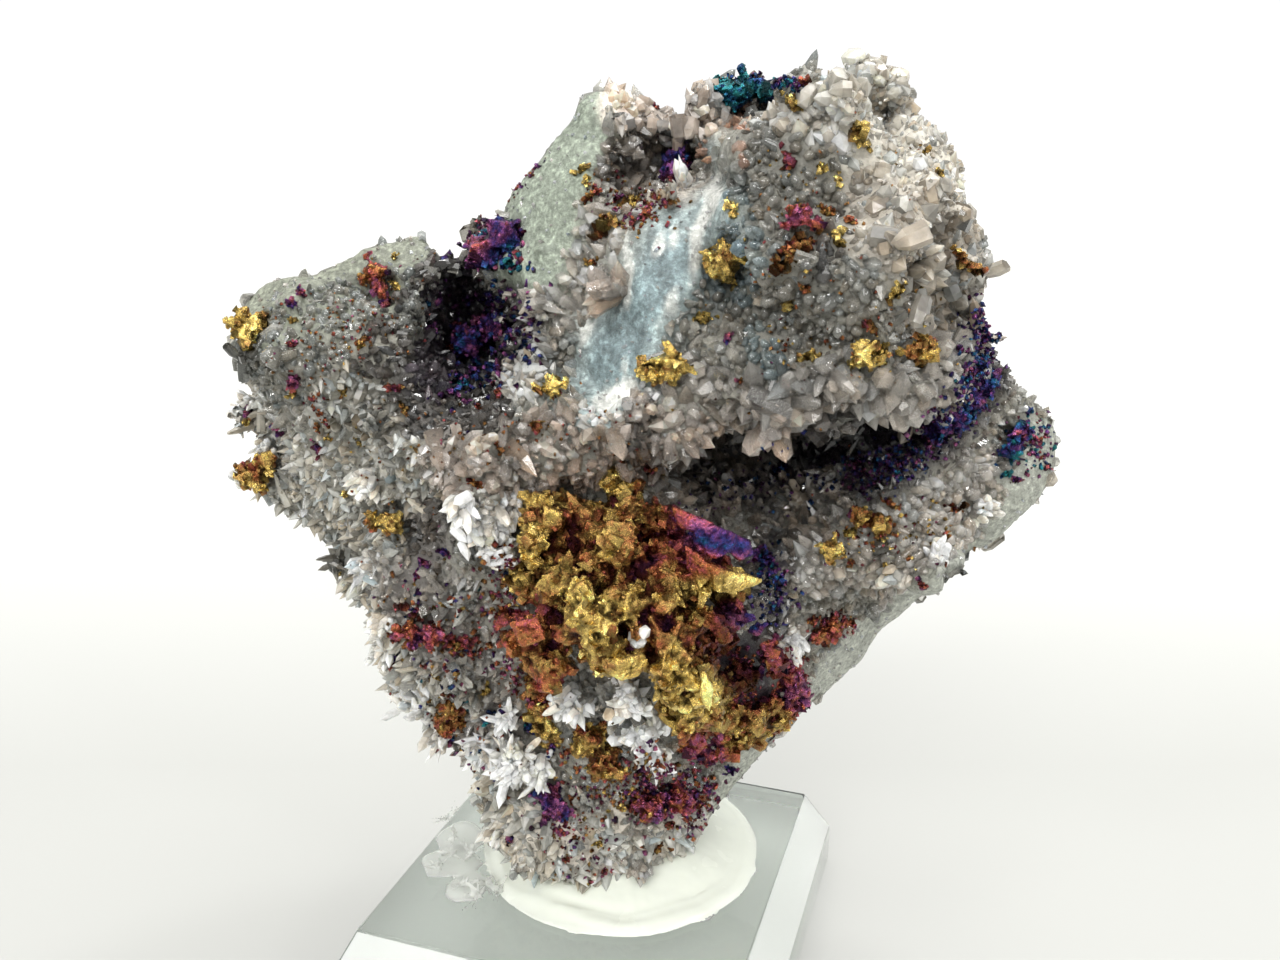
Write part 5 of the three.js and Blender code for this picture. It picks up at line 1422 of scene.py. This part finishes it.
def crystal_piece(name, shapes, material, rows, mine, root_shade, tip_shade):
    """Many crystals as one piece, with painted shade at their roots, painted light toward their points and a
    painted reflection on each facet.
    """
    rows = {key: values[mine] for key, values in rows.items()}
    which = dice.integers(0, len(shapes), mine.sum())
    batches, colours = [], []
    for i, shape in enumerate(shapes):
        chosen = {key: values[which == i] for key, values in rows.items()}
        count = len(chosen["places"])
        if not count:
            continue
        spins, flat = dice.uniform(0, ANY_TURN, count), dice.uniform(0.6, 1, count)
        batches.append(copies(shape, chosen["places"], chosen["axes"], spins, chosen["radii"],
                              chosen["radii"] * flat, chosen["lengths"], chosen["sunk"]))
        facets = facets_of(shape)
        # Painted reflection: each facet a random shade lighter or darker.
        facet_painted_reflections = np.exp(dice.normal(0, FACET_REFLECTION_SPREAD, (count, facets.max() + 1)))[:, facets]
        # Painted shade at the root of each crystal and painted light toward its point.
        rise = root_shade + (tip_shade - root_shade) * shape[0][shape[1], 2]
        colours.append((chosen["tints"][:, None, None] * facet_painted_reflections[..., None, None] *
                        rise[None, ..., None]).reshape(-1, 3))
    piece = mesh_of(name, *joined_copies(batches))
    if shapes is WORN_CRYSTALS:
        piece.data.shade_smooth()
    colours = np.clip(np.concatenate(colours), 0, LIGHTEST)
    paint(piece, "tint", colours ** CLEAR_LIGHTENED if material is clear_quartz else colours, "CORNER")
    piece.data.materials.append(material)
    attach(piece, "root")
    return piece


def shaded_tints(tints, places, scatter, least):
    """Tints made brighter and darker, warmer and colder at random, and darkened by painted shade where the
    sky is shut out.
    """
    count = len(places)
    patches = 0.4 * mottle(places, 5 * MM, 13) + 0.45 * mottle(places, 2 * MM, 57)
    bright = np.exp(dice.normal(0, 1, (count, 1)) * np.reshape(scatter, (-1, 1)) + patches[:, None])
    warm = 1 + dice.normal(0.02, 0.07, (count, 1)) * np.array([[1, 0, -1]])
    # Painted shade from the openness, never below the least given.
    shade = np.maximum(np.clip(open_at(places) * LIGHT_LET_IN, 0.18, 1) ** 1.2, least)[:, None]
    return np.clip(tints * bright * warm * shade, 0.004, 0.95)


FACE_GRAIN, FACE_RELIEF = 0.9 * MM, 0.05
DARK_SCATTER, PALE_SCATTER = 0.75, 0.22

clear_quartz = quartz_material("clear quartz crystals", 0.7, 0.02, 0.1, FACE_GRAIN, FACE_RELIEF, 0.5)
milky_quartz = quartz_material("milky quartz crystals", 0.42, 0.02, 0.12, FACE_GRAIN, FACE_RELIEF, 0.35, 0.4)
white_quartz = quartz_material("white quartz crystals", 0.08, 0.02, 0.12, FACE_GRAIN, FACE_RELIEF, 0.35, 0.5)
scatter = np.where(np.isin(zone_tints, DARK_TINTS), DARK_SCATTER, PALE_SCATTER)
least = np.maximum(tufted * TUFT_SHADE, np.isin(zone_names, LIT_ZONES) * LIT_SHADE)
rows = {"places": places, "axes": axes, "radii": radii, "lengths": lengths, "sunk": sunk,
        "tints": shaded_tints(tints, places, scatter, least)}
milky = tufted | np.isin(zone_tints, MILKY_TINTS)
high = places[:, 2] > HIGH_ABOVE
worn = np.isin(zone_names, WORN_ZONES)
plain = ~behind & ~milky & ~worn
cloudy = ~behind & milky & ~worn & ~tufted
fine_points = CRYSTALS[:3]
druse = [crystal_piece("druse_high", CRYSTALS, clear_quartz, rows, plain & high, 0.25, 1.6),
         crystal_piece("druse_low", CRYSTALS, clear_quartz, rows, plain & ~high, 0.25, 1.6),
         crystal_piece("druse_milky", fine_points, milky_quartz, rows, cloudy, 0.8, 1.1),
         crystal_piece("druse_tufts", fine_points, white_quartz, rows, tufted, 0.88, 1.08),
         crystal_piece("druse_worn", WORN_CRYSTALS, clear_quartz, rows, ~behind & worn & ~milky, 0.4, 1.4),
         crystal_piece("druse_crown", fine_points + WORN_CRYSTALS, milky_quartz, rows, ~behind & worn & milky,
                       0.9, 1.05),
         crystal_piece("druse_behind", CRYSTALS, clear_quartz, rows, behind, 0.35, 1.45)]

# ---------------------------------------------------------------- the sugar quartz
# Between the crystals the plate is crusted with much smaller ones, a third to two thirds of a millimetre
# across, like sugar. On the cleavages only flakes of them are left.
SUGAR_CANDIDATES = 60000
SUGAR_SPACING, SUGAR_CROWDED, SUGAR_OFF_ORE = 0.66 * MM, 0.9, 0.5 * MM
SUGAR_SCATTER, SUGAR_SUNK = 0.3, 0.4
FLAKES_LEFT, FLAKE_TINT = 0.3, 0.5
HOLE_CLEAR = 1.3

dice = np.random.default_rng(47)
places, normals, _ = surface_points(rock, SUGAR_CANDIDATES, dice)
shown = on_show_side(places, normals)
clear = open_grid(SUGAR_SPACING)
off_the_ore = [i for i in np.nonzero(shown)[0] if ore_tree.find(places[i])[2] > SUGAR_OFF_ORE]
kept = [i for i in off_the_ore if clear(tuple(places[i]), SUGAR_SPACING * SUGAR_CROWDED)]
places, normals = places[kept], normals[kept]
wavy = wavy_sight(places, EDGE_SWAY)
bare = np.max([near_stroke(wavy, path, reach) for _, path, reach in SMOOTH_PLACES], axis=0) > BARE_ABOVE
left_on = ~bare | (dice.random(len(places)) < FLAKES_LEFT)
left_on &= near_stroke(wavy, HOLE_COURSE, HOLE_REACH * HOLE_CLEAR) == 0
places, normals, wavy, bare = places[left_on], normals[left_on], wavy[left_on], bare[left_on]
pull = np.array([near_stroke(wavy, path, reach) for _, path, reach, *_ in DRUSE])
zone = np.where(pull.max(0) > 0, pull.argmax(0), len(DRUSE))
tints = np.array([TINTS[kinds[z][4]] for z in zone])
tints[bare] = FLAKE_TINT
count = len(places)
leaning = np.where(bare, 0.25, 0.8)[:, None] * dice.normal(size=(count, 3))
rows = {"places": places, "axes": unit(normals + leaning),
        "radii": dice.uniform(0.18, 0.42, count) * MM * np.where(bare, 0.8, 1),
        "lengths": dice.uniform(0.3, 0.9, count) * MM * np.where(bare, 0.5, 1),
        "sunk": np.full(count, SUGAR_SUNK), "tints": shaded_tints(tints, places, SUGAR_SCATTER, 0)}
high = places[:, 2] > HIGH_ABOVE
# Like the druse, the sugar carries painted shade where the sky is shut out and at the root of each crystal,
# and painted light toward its point.
sugar = [crystal_piece("sugar_high", WEDGES, clear_quartz, rows, high, 0.7, 1.25),
         crystal_piece("sugar_low", WEDGES, clear_quartz, rows, ~high, 0.7, 1.25)]

# ---------------------------------------------------------------- the ore dust
# Specks of the same ore, a quarter to three quarters of a millimetre across, that sit on the crystals and
# in the gaps between them. They lie thick in the hollows and beside the larger masses.

# Where it lies: course in the frame and reach, how many, size from and to in mm, film from and to.
DUST = [
    ("right arm", [(850, 474), (905, 462), (962, 412), (988, 345), (988, 312)], 22, 950,
     0.3, 0.65, 0.6, 0.88),
    ("right edge", [(1010, 440), (1035, 430), (1040, 470)], 20, 150, 0.3, 0.7, 0.4, 1.0),
    ("left hollow", [(450, 300), (505, 300), (515, 340), (480, 370), (455, 390)], 30, 260,
     0.4, 0.9, 0.6, 0.86),
    ("notch", [(465, 245), (500, 230), (515, 265)], 14, 150, 0.4, 0.9, 0.5, 0.95),
    ("outline's crust", [(480, 226), (512, 190), (540, 160)], 6, 150, 0.25, 0.5, 0.3, 0.75),
    ("top crust", [(728, 84), (760, 80), (800, 84)], 8, 160, 0.3, 0.6, 0.7, 1.0),
    ("right hollow", [(700, 500), (770, 480), (850, 470)], 34, 130, 0.3, 0.6, 0.66, 0.86),
    ("under the wedge", [(760, 560), (780, 610)], 24, 110, 0.35, 0.8, 0.66, 0.86),
    ("left streak", [(395, 635), (440, 638), (475, 652)], 10, 170, 0.3, 0.7, 0.3, 0.5),
    ("copper thread", [(312, 392), (320, 415), (330, 430)], 5, 34, 0.25, 0.5, 0.3, 0.46),
    ("lower left", [(400, 600), (470, 610), (440, 700), (480, 780)], 42, 200, 0.3, 0.7, 0.14, 0.95),
    ("left lobe", [(270, 320), (350, 330), (400, 300), (300, 390)], 42, 170, 0.2, 0.45, 0.18, 0.5),
    ("left field", [(340, 440), (420, 470), (380, 540)], 50, 60, 0.2, 0.4, 0.1, 0.4),
    ("band", [(420, 440), (520, 430), (640, 440)], 30, 60, 0.25, 0.45, 0.2, 0.45),
    ("face of the lobe", [(770, 170), (820, 220), (790, 280)], 50, 60, 0.2, 0.45, 0.1, 0.45),
    ("brow", [(760, 340), (860, 340), (940, 320)], 40, 60, 0.25, 0.5, 0.1, 0.4),
    ("crown", [(860, 130), (930, 170)], 40, 10, 0.2, 0.35, 0.2, 0.3),
    ("upper hollow", [(600, 190), (640, 215), (670, 200)], 24, 150, 0.25, 0.6, 0.2, 0.66),
    ("shelf", [(850, 540), (900, 540), (950, 520)], 34, 90, 0.25, 0.6, 0.04, 0.6),
    ("ring", [(772, 650), (800, 690), (775, 735)], 16, 280, 0.3, 0.7, 0.36, 0.6),
    ("hole in the ore", [(735, 650), (752, 680), (740, 700)], 16, 200, 0.3, 0.7, 0.36, 0.66),
    ("lower right", [(640, 790), (700, 790), (690, 822)], 30, 420, 0.35, 0.8, 0.3, 0.72),
    ("foot", [(540, 810), (600, 860), (560, 840)], 38, 120, 0.25, 0.6, 0.2, 0.75),
    ("left of the main mass", [(512, 560), (500, 620), (530, 700)], 22, 260, 0.3, 0.7, 0.24, 0.6),
    ("below the main mass", [(560, 760), (620, 800), (650, 760)], 24, 240, 0.3, 0.7, 0.1, 0.7),
    ("patch", [(815, 625), (850, 625)], 12, 140, 0.3, 0.6, 0.3, 0.55),
    ("everywhere", [(300, 400), (520, 500), (800, 300), (900, 500), (560, 800)], 130, 120,
     0.15, 0.35, 0.1, 0.6),
]
depsgraph = bpy.context.evaluated_depsgraph_get()
depsgraph.update()
stops = [rock_tree] + [BVHTree.FromObject(piece, depsgraph) for piece in druse[:-1] + sugar]
dice = np.random.default_rng(61)
SPECK_WIDTH = 0.6
feet, outward, sizes, films = [], [], [], []
for name, path, reach, count, small, large, low, high_film in DUST:
    path = np.array(path, float)
    for _ in range(count):
        leg = int(dice.integers(0, len(path) - 1))
        spot = path[leg] + dice.random() * (path[leg + 1] - path[leg]) + dice.normal(0, reach / 2, 2)
        aim = sight(*spot)
        hits = [hit for hit in (stop.ray_cast(EYE, aim) for stop in stops) if hit[0]]
        size, film = dice.uniform(small, large), dice.uniform(low, high_film)
        if hits:
            place, normal, _, _ = min(hits, key=lambda hit: hit[3])
            feet.append(place)
            outward.append(normal)
            sizes.append(size * SPECK_WIDTH * MM)
            films.append(film)
columns = [np.array(rows) for rows in (feet, outward, sizes, films)]
ore_heap("ore_dust", *columns, 0.6, dice, "chalcopyrite_violet")

# ---------------------------------------------------------------- the putty
# Clear museum putty, pressed by hand round the foot of the stone into a milky disc that thins to a lip. It
# tore off on the left, where its clear strings lie over the block's top. It is wet-looking outside.
PUTTY_VOXEL = 0.3 * MM
PUTTY_MIDDLE = Vector((2.5, 1.5)) * MM
PUTTY_BED = 12.3 * MM
LIP_INSIDE, LIP_OUTSIDE = 13.0 * MM, 16.5 * MM
LIP_FLATTENED = 0.36
COLLAR_RISE = 2.0 * MM
STRINGS_FROM = 17.4 * MM
OUTLINE_STEPS, OUTLINE_CALM, OUTLINE_SWAY = 180, 9, 0.5 * MM
COLLAR_WIDTH = 7.0 * MM
PAD_HIGH, TOP_SIDE = 1.2 * MM, 0.5 * MM
FOLD_HIGH, FOLD_APART = 0.5 * MM, 0.6 * MM

# Where the torn strings lie, in the frame.
SHREDS = [(432, 800), (428, 830), (440, 862), (452, 850), (462, 880), (478, 892), (486, 880), (500, 886),
          (470, 850), (448, 815), (455, 832)]

putty = copy_of("mounting_putty", "pressed_putty")
putty_tree = BVHTree.FromObject(putty, bpy.context.evaluated_depsgraph_get())
finish_with(putty, "REMESH", mode="VOXEL", voxel_size=PUTTY_VOXEL)
finish_with(putty, "SMOOTH", factor=0.5, iterations=8)
places, _ = corners_of(putty)
spokes = places[:, :2] - np.array(PUTTY_MIDDLE)
off, turn = np.linalg.norm(spokes, axis=1), np.arctan2(spokes[:, 1], spokes[:, 0])
steps = np.linspace(-math.pi, math.pi, OUTLINE_STEPS, endpoint=False)
sector = ((turn + math.pi) / (2 * math.pi) * OUTLINE_STEPS).astype(int) % OUTLINE_STEPS
edge = np.array([off[(sector == i) & (off < STRINGS_FROM)].max() for i in range(OUTLINE_STEPS)])
window = np.arange(-OUTLINE_CALM, OUTLINE_CALM + 1)
calm = np.array([edge[(i + window) % OUTLINE_STEPS].mean() for i in range(OUTLINE_STEPS)])
sway = OUTLINE_SWAY * mottle(np.column_stack([np.cos(steps), np.sin(steps), steps * 0]), 0.5, 15)
stretch = np.interp(turn, steps, (calm + sway) / edge, period=2 * math.pi)
stretch = np.where(off < STRINGS_FROM, 1 + (stretch - 1) * np.clip(off / LIP_INSIDE, 0, 1) ** 2, 1)
places[:, :2] = np.array(PUTTY_MIDDLE) + spokes * stretch[:, None]
lip = np.clip((off - LIP_INSIDE) / (LIP_OUTSIDE - LIP_INSIDE), 0, 1)
above = np.maximum(places[:, 2] - PUTTY_BED, 0)
collar = np.clip((LIP_OUTSIDE - off) / COLLAR_WIDTH, 0, 1) ** 1.5 * COLLAR_RISE
lifted = np.minimum(above, PAD_HIGH) * (1 - lip) + above * LIP_FLATTENED * lip
top_side = np.clip(above / TOP_SIDE, 0, 1)
fold = FOLD_HIGH * np.sin(off / FOLD_APART + 4 * mottle(places, 11 * MM, 77)) * lip * (1 - lip) * 2
fold *= np.clip(0.5 - spokes[:, 0] / (20 * MM) + mottle(places, 8 * MM, 19), 0, 1)
places[:, 2] = np.where(above > 0, PUTTY_BED + lifted + (collar + fold) * top_side, places[:, 2])
putty.data.vertices.foreach_set("co", places.ravel())
putty.data.update()
finish_with(putty, "SMOOTH", factor=0.5, iterations=3)
select_only(putty)
bpy.ops.object.shade_smooth()

putty_milky, tree, shader = new_material(
    "milky putty", Base_Color=(0.77, 0.80, 0.72, 1), IOR=1.45, Subsurface_Weight=0.25,
    Subsurface_Scale=1.5 * MM, Subsurface_Radius=(1, 1, 0.9))
wire(tree, uneven(tree, 4 * MM, 0.08, 0.3)[0], shader.inputs["Roughness"])
bumped(tree, shader, uneven(tree, 5 * MM, detail=2)[1], 0.3 * MM)
putty.data.materials.append(putty_milky)
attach(putty, "root")
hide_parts("mounting_putty")

STRANDS, STRANDS_PULLED, STRANDS_PRESSED = 16, np.array([-0.4, -0.3, 0.4]), np.array([0, 0, 0.5]) * MM
STRING_SUNK, STRING_VOXEL = 0.4, 0.15 * MM

batches = []
for px, py in SHREDS:
    place = putty_tree.ray_cast(EYE, sight(px, py))[0]
    if place:
        around = unit(dice.normal(size=(STRANDS, 3)) + STRANDS_PULLED)
        feet = np.array(place) + around * MM * dice.uniform(0, 1.2, (STRANDS, 1)) - STRANDS_PRESSED
        thick = MM * dice.uniform(0.16, 0.5, STRANDS)
        batches.append(copies(WEDGES[1], feet, around, dice.uniform(0, ANY_TURN, STRANDS), thick, thick * 0.5,
                              MM * dice.uniform(0.8, 2.0, STRANDS), STRING_SUNK))
shreds = mesh_of("putty_strings", *joined_copies(batches))
finish_with(shreds, "REMESH", mode="VOXEL", voxel_size=STRING_VOXEL)
finish_with(shreds, "SMOOTH", factor=0.5, iterations=2)
displaced(shreds, "BLENDER_ORIGINAL", 1.0 * MM, 0.3 * MM)
select_only(shreds)
bpy.ops.object.shade_smooth()
putty_clear, _, _ = new_material(
    "clear putty", Base_Color=(0.97, 0.98, 0.95, 1), IOR=1.35, Transmission_Weight=0.7, Roughness=0.15)
shreds.data.materials.append(putty_clear)
putty.data.materials.append(putty_clear)
for face in putty.data.polygons:
    face.material_index = int((face.center.xy - PUTTY_MIDDLE).length > STRINGS_FROM)
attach(shreds, "root")

# ---------------------------------------------------------------- the floor and the light
# A sheet of white paper that glows toward its far side, in a pale room with two soft boxes. A key lamp
# above and behind and a small lamp at each side in front give the glints.
DARK_SIDE, BRIGHT_SIDE, ROOM_UP = 0.45, 0.8, (0.3, 0.4, 0.87)
BACKDROP = 1.3
PAPER_WIDE, PAPER_PLACE = 2.4, (0, 0.4, -0.02 * MM)
# The soft boxes: the way to each, its strength, and where its edge starts and ends.
SOFT_BOXES = [((0.2, 0.1, 0.975), 3.4, 0.88, 0.92), ((-0.25, -0.78, 0.57), 6.0, 0.925, 0.95)]

bpy.ops.mesh.primitive_plane_add(size=PAPER_WIDE, location=PAPER_PLACE)
floor = bpy.context.object
floor.name = "paper"
paper, tree, shader = new_material("white paper", Base_Color=(0.30, 0.302, 0.285, 1), Roughness=0.7)
place = add_node(tree, "ShaderNodeTexCoord")
parts = add_node(tree, "ShaderNodeSeparateXYZ")
wire(tree, place.outputs["Object"], parts.inputs[0])
# The paper's glow is painted light, brighter toward its far side.
shader.inputs["Emission Color"].default_value = (1, 1, 0.985, 1)
wire(tree, spread(tree, parts.outputs["Y"], 0.25, 0.6, -0.36, -0.22), shader.inputs["Emission Strength"])
floor.data.materials.append(paper)

world = bpy.data.worlds.new("studio")
bpy.context.scene.world = world
world.use_nodes = True
tree = world.node_tree
sky = tree.nodes["Background"]
sky.inputs["Color"].default_value = (1, 1, 0.98, 1)
place = add_node(tree, "ShaderNodeTexCoord")
side = add_node(tree, "ShaderNodeVectorMath", operation="DOT_PRODUCT")
side.inputs[1].default_value = ROOM_UP
wire(tree, place.outputs["Generated"], side.inputs[0])
total = spread(tree, side.outputs["Value"], DARK_SIDE, BRIGHT_SIDE, -0.35, 0.9)
for aim, strength, outside, inside in SOFT_BOXES:
    toward = add_node(tree, "ShaderNodeVectorMath", operation="DOT_PRODUCT")
    toward.inputs[1].default_value = aim
    wire(tree, place.outputs["Generated"], toward.inputs[0])
    plus = add_node(tree, "ShaderNodeMath", operation="ADD")
    wire(tree, total, plus.inputs[0])
    wire(tree, spread(tree, toward.outputs["Value"], 0, strength, outside, inside), plus.inputs[1])
    total = plus.outputs[0]
wire(tree, total, sky.inputs["Strength"])
glow = add_node(tree, "ShaderNodeBackground")
glow.inputs["Strength"].default_value = BACKDROP
pick = add_node(tree, "ShaderNodeMixShader")
path = add_node(tree, "ShaderNodeLightPath")
wire(tree, path.outputs["Is Camera Ray"], pick.inputs["Fac"])
wire(tree, sky.outputs["Background"], pick.inputs[1])
wire(tree, glow.outputs["Background"], pick.inputs[2])
wire(tree, pick.outputs["Shader"], tree.nodes["World Output"].inputs["Surface"])

LAMP_AIM = Vector((0, 0, 60)) * MM


def lamp(name, place, size, power):
    """A round lamp that looks at the stone, its place and size in mm."""
    bpy.ops.object.light_add(type="AREA", location=Vector(place) * MM)
    light = bpy.context.object
    light.name = name
    light.data.shape = "DISK"
    light.data.size = size * MM
    light.data.energy = power
    light.rotation_euler = (LAMP_AIM - light.location).to_track_quat("-Z", "Y").to_euler()


lamp("key", (150, 60, 400), 60, 0.32)
lamp("glint, right", (230, -260, 240), 55, 0.24)
lamp("glint, left", (-200, -200, 330), 55, 0.24)
bpy.context.scene.view_settings.view_transform = "Standard"
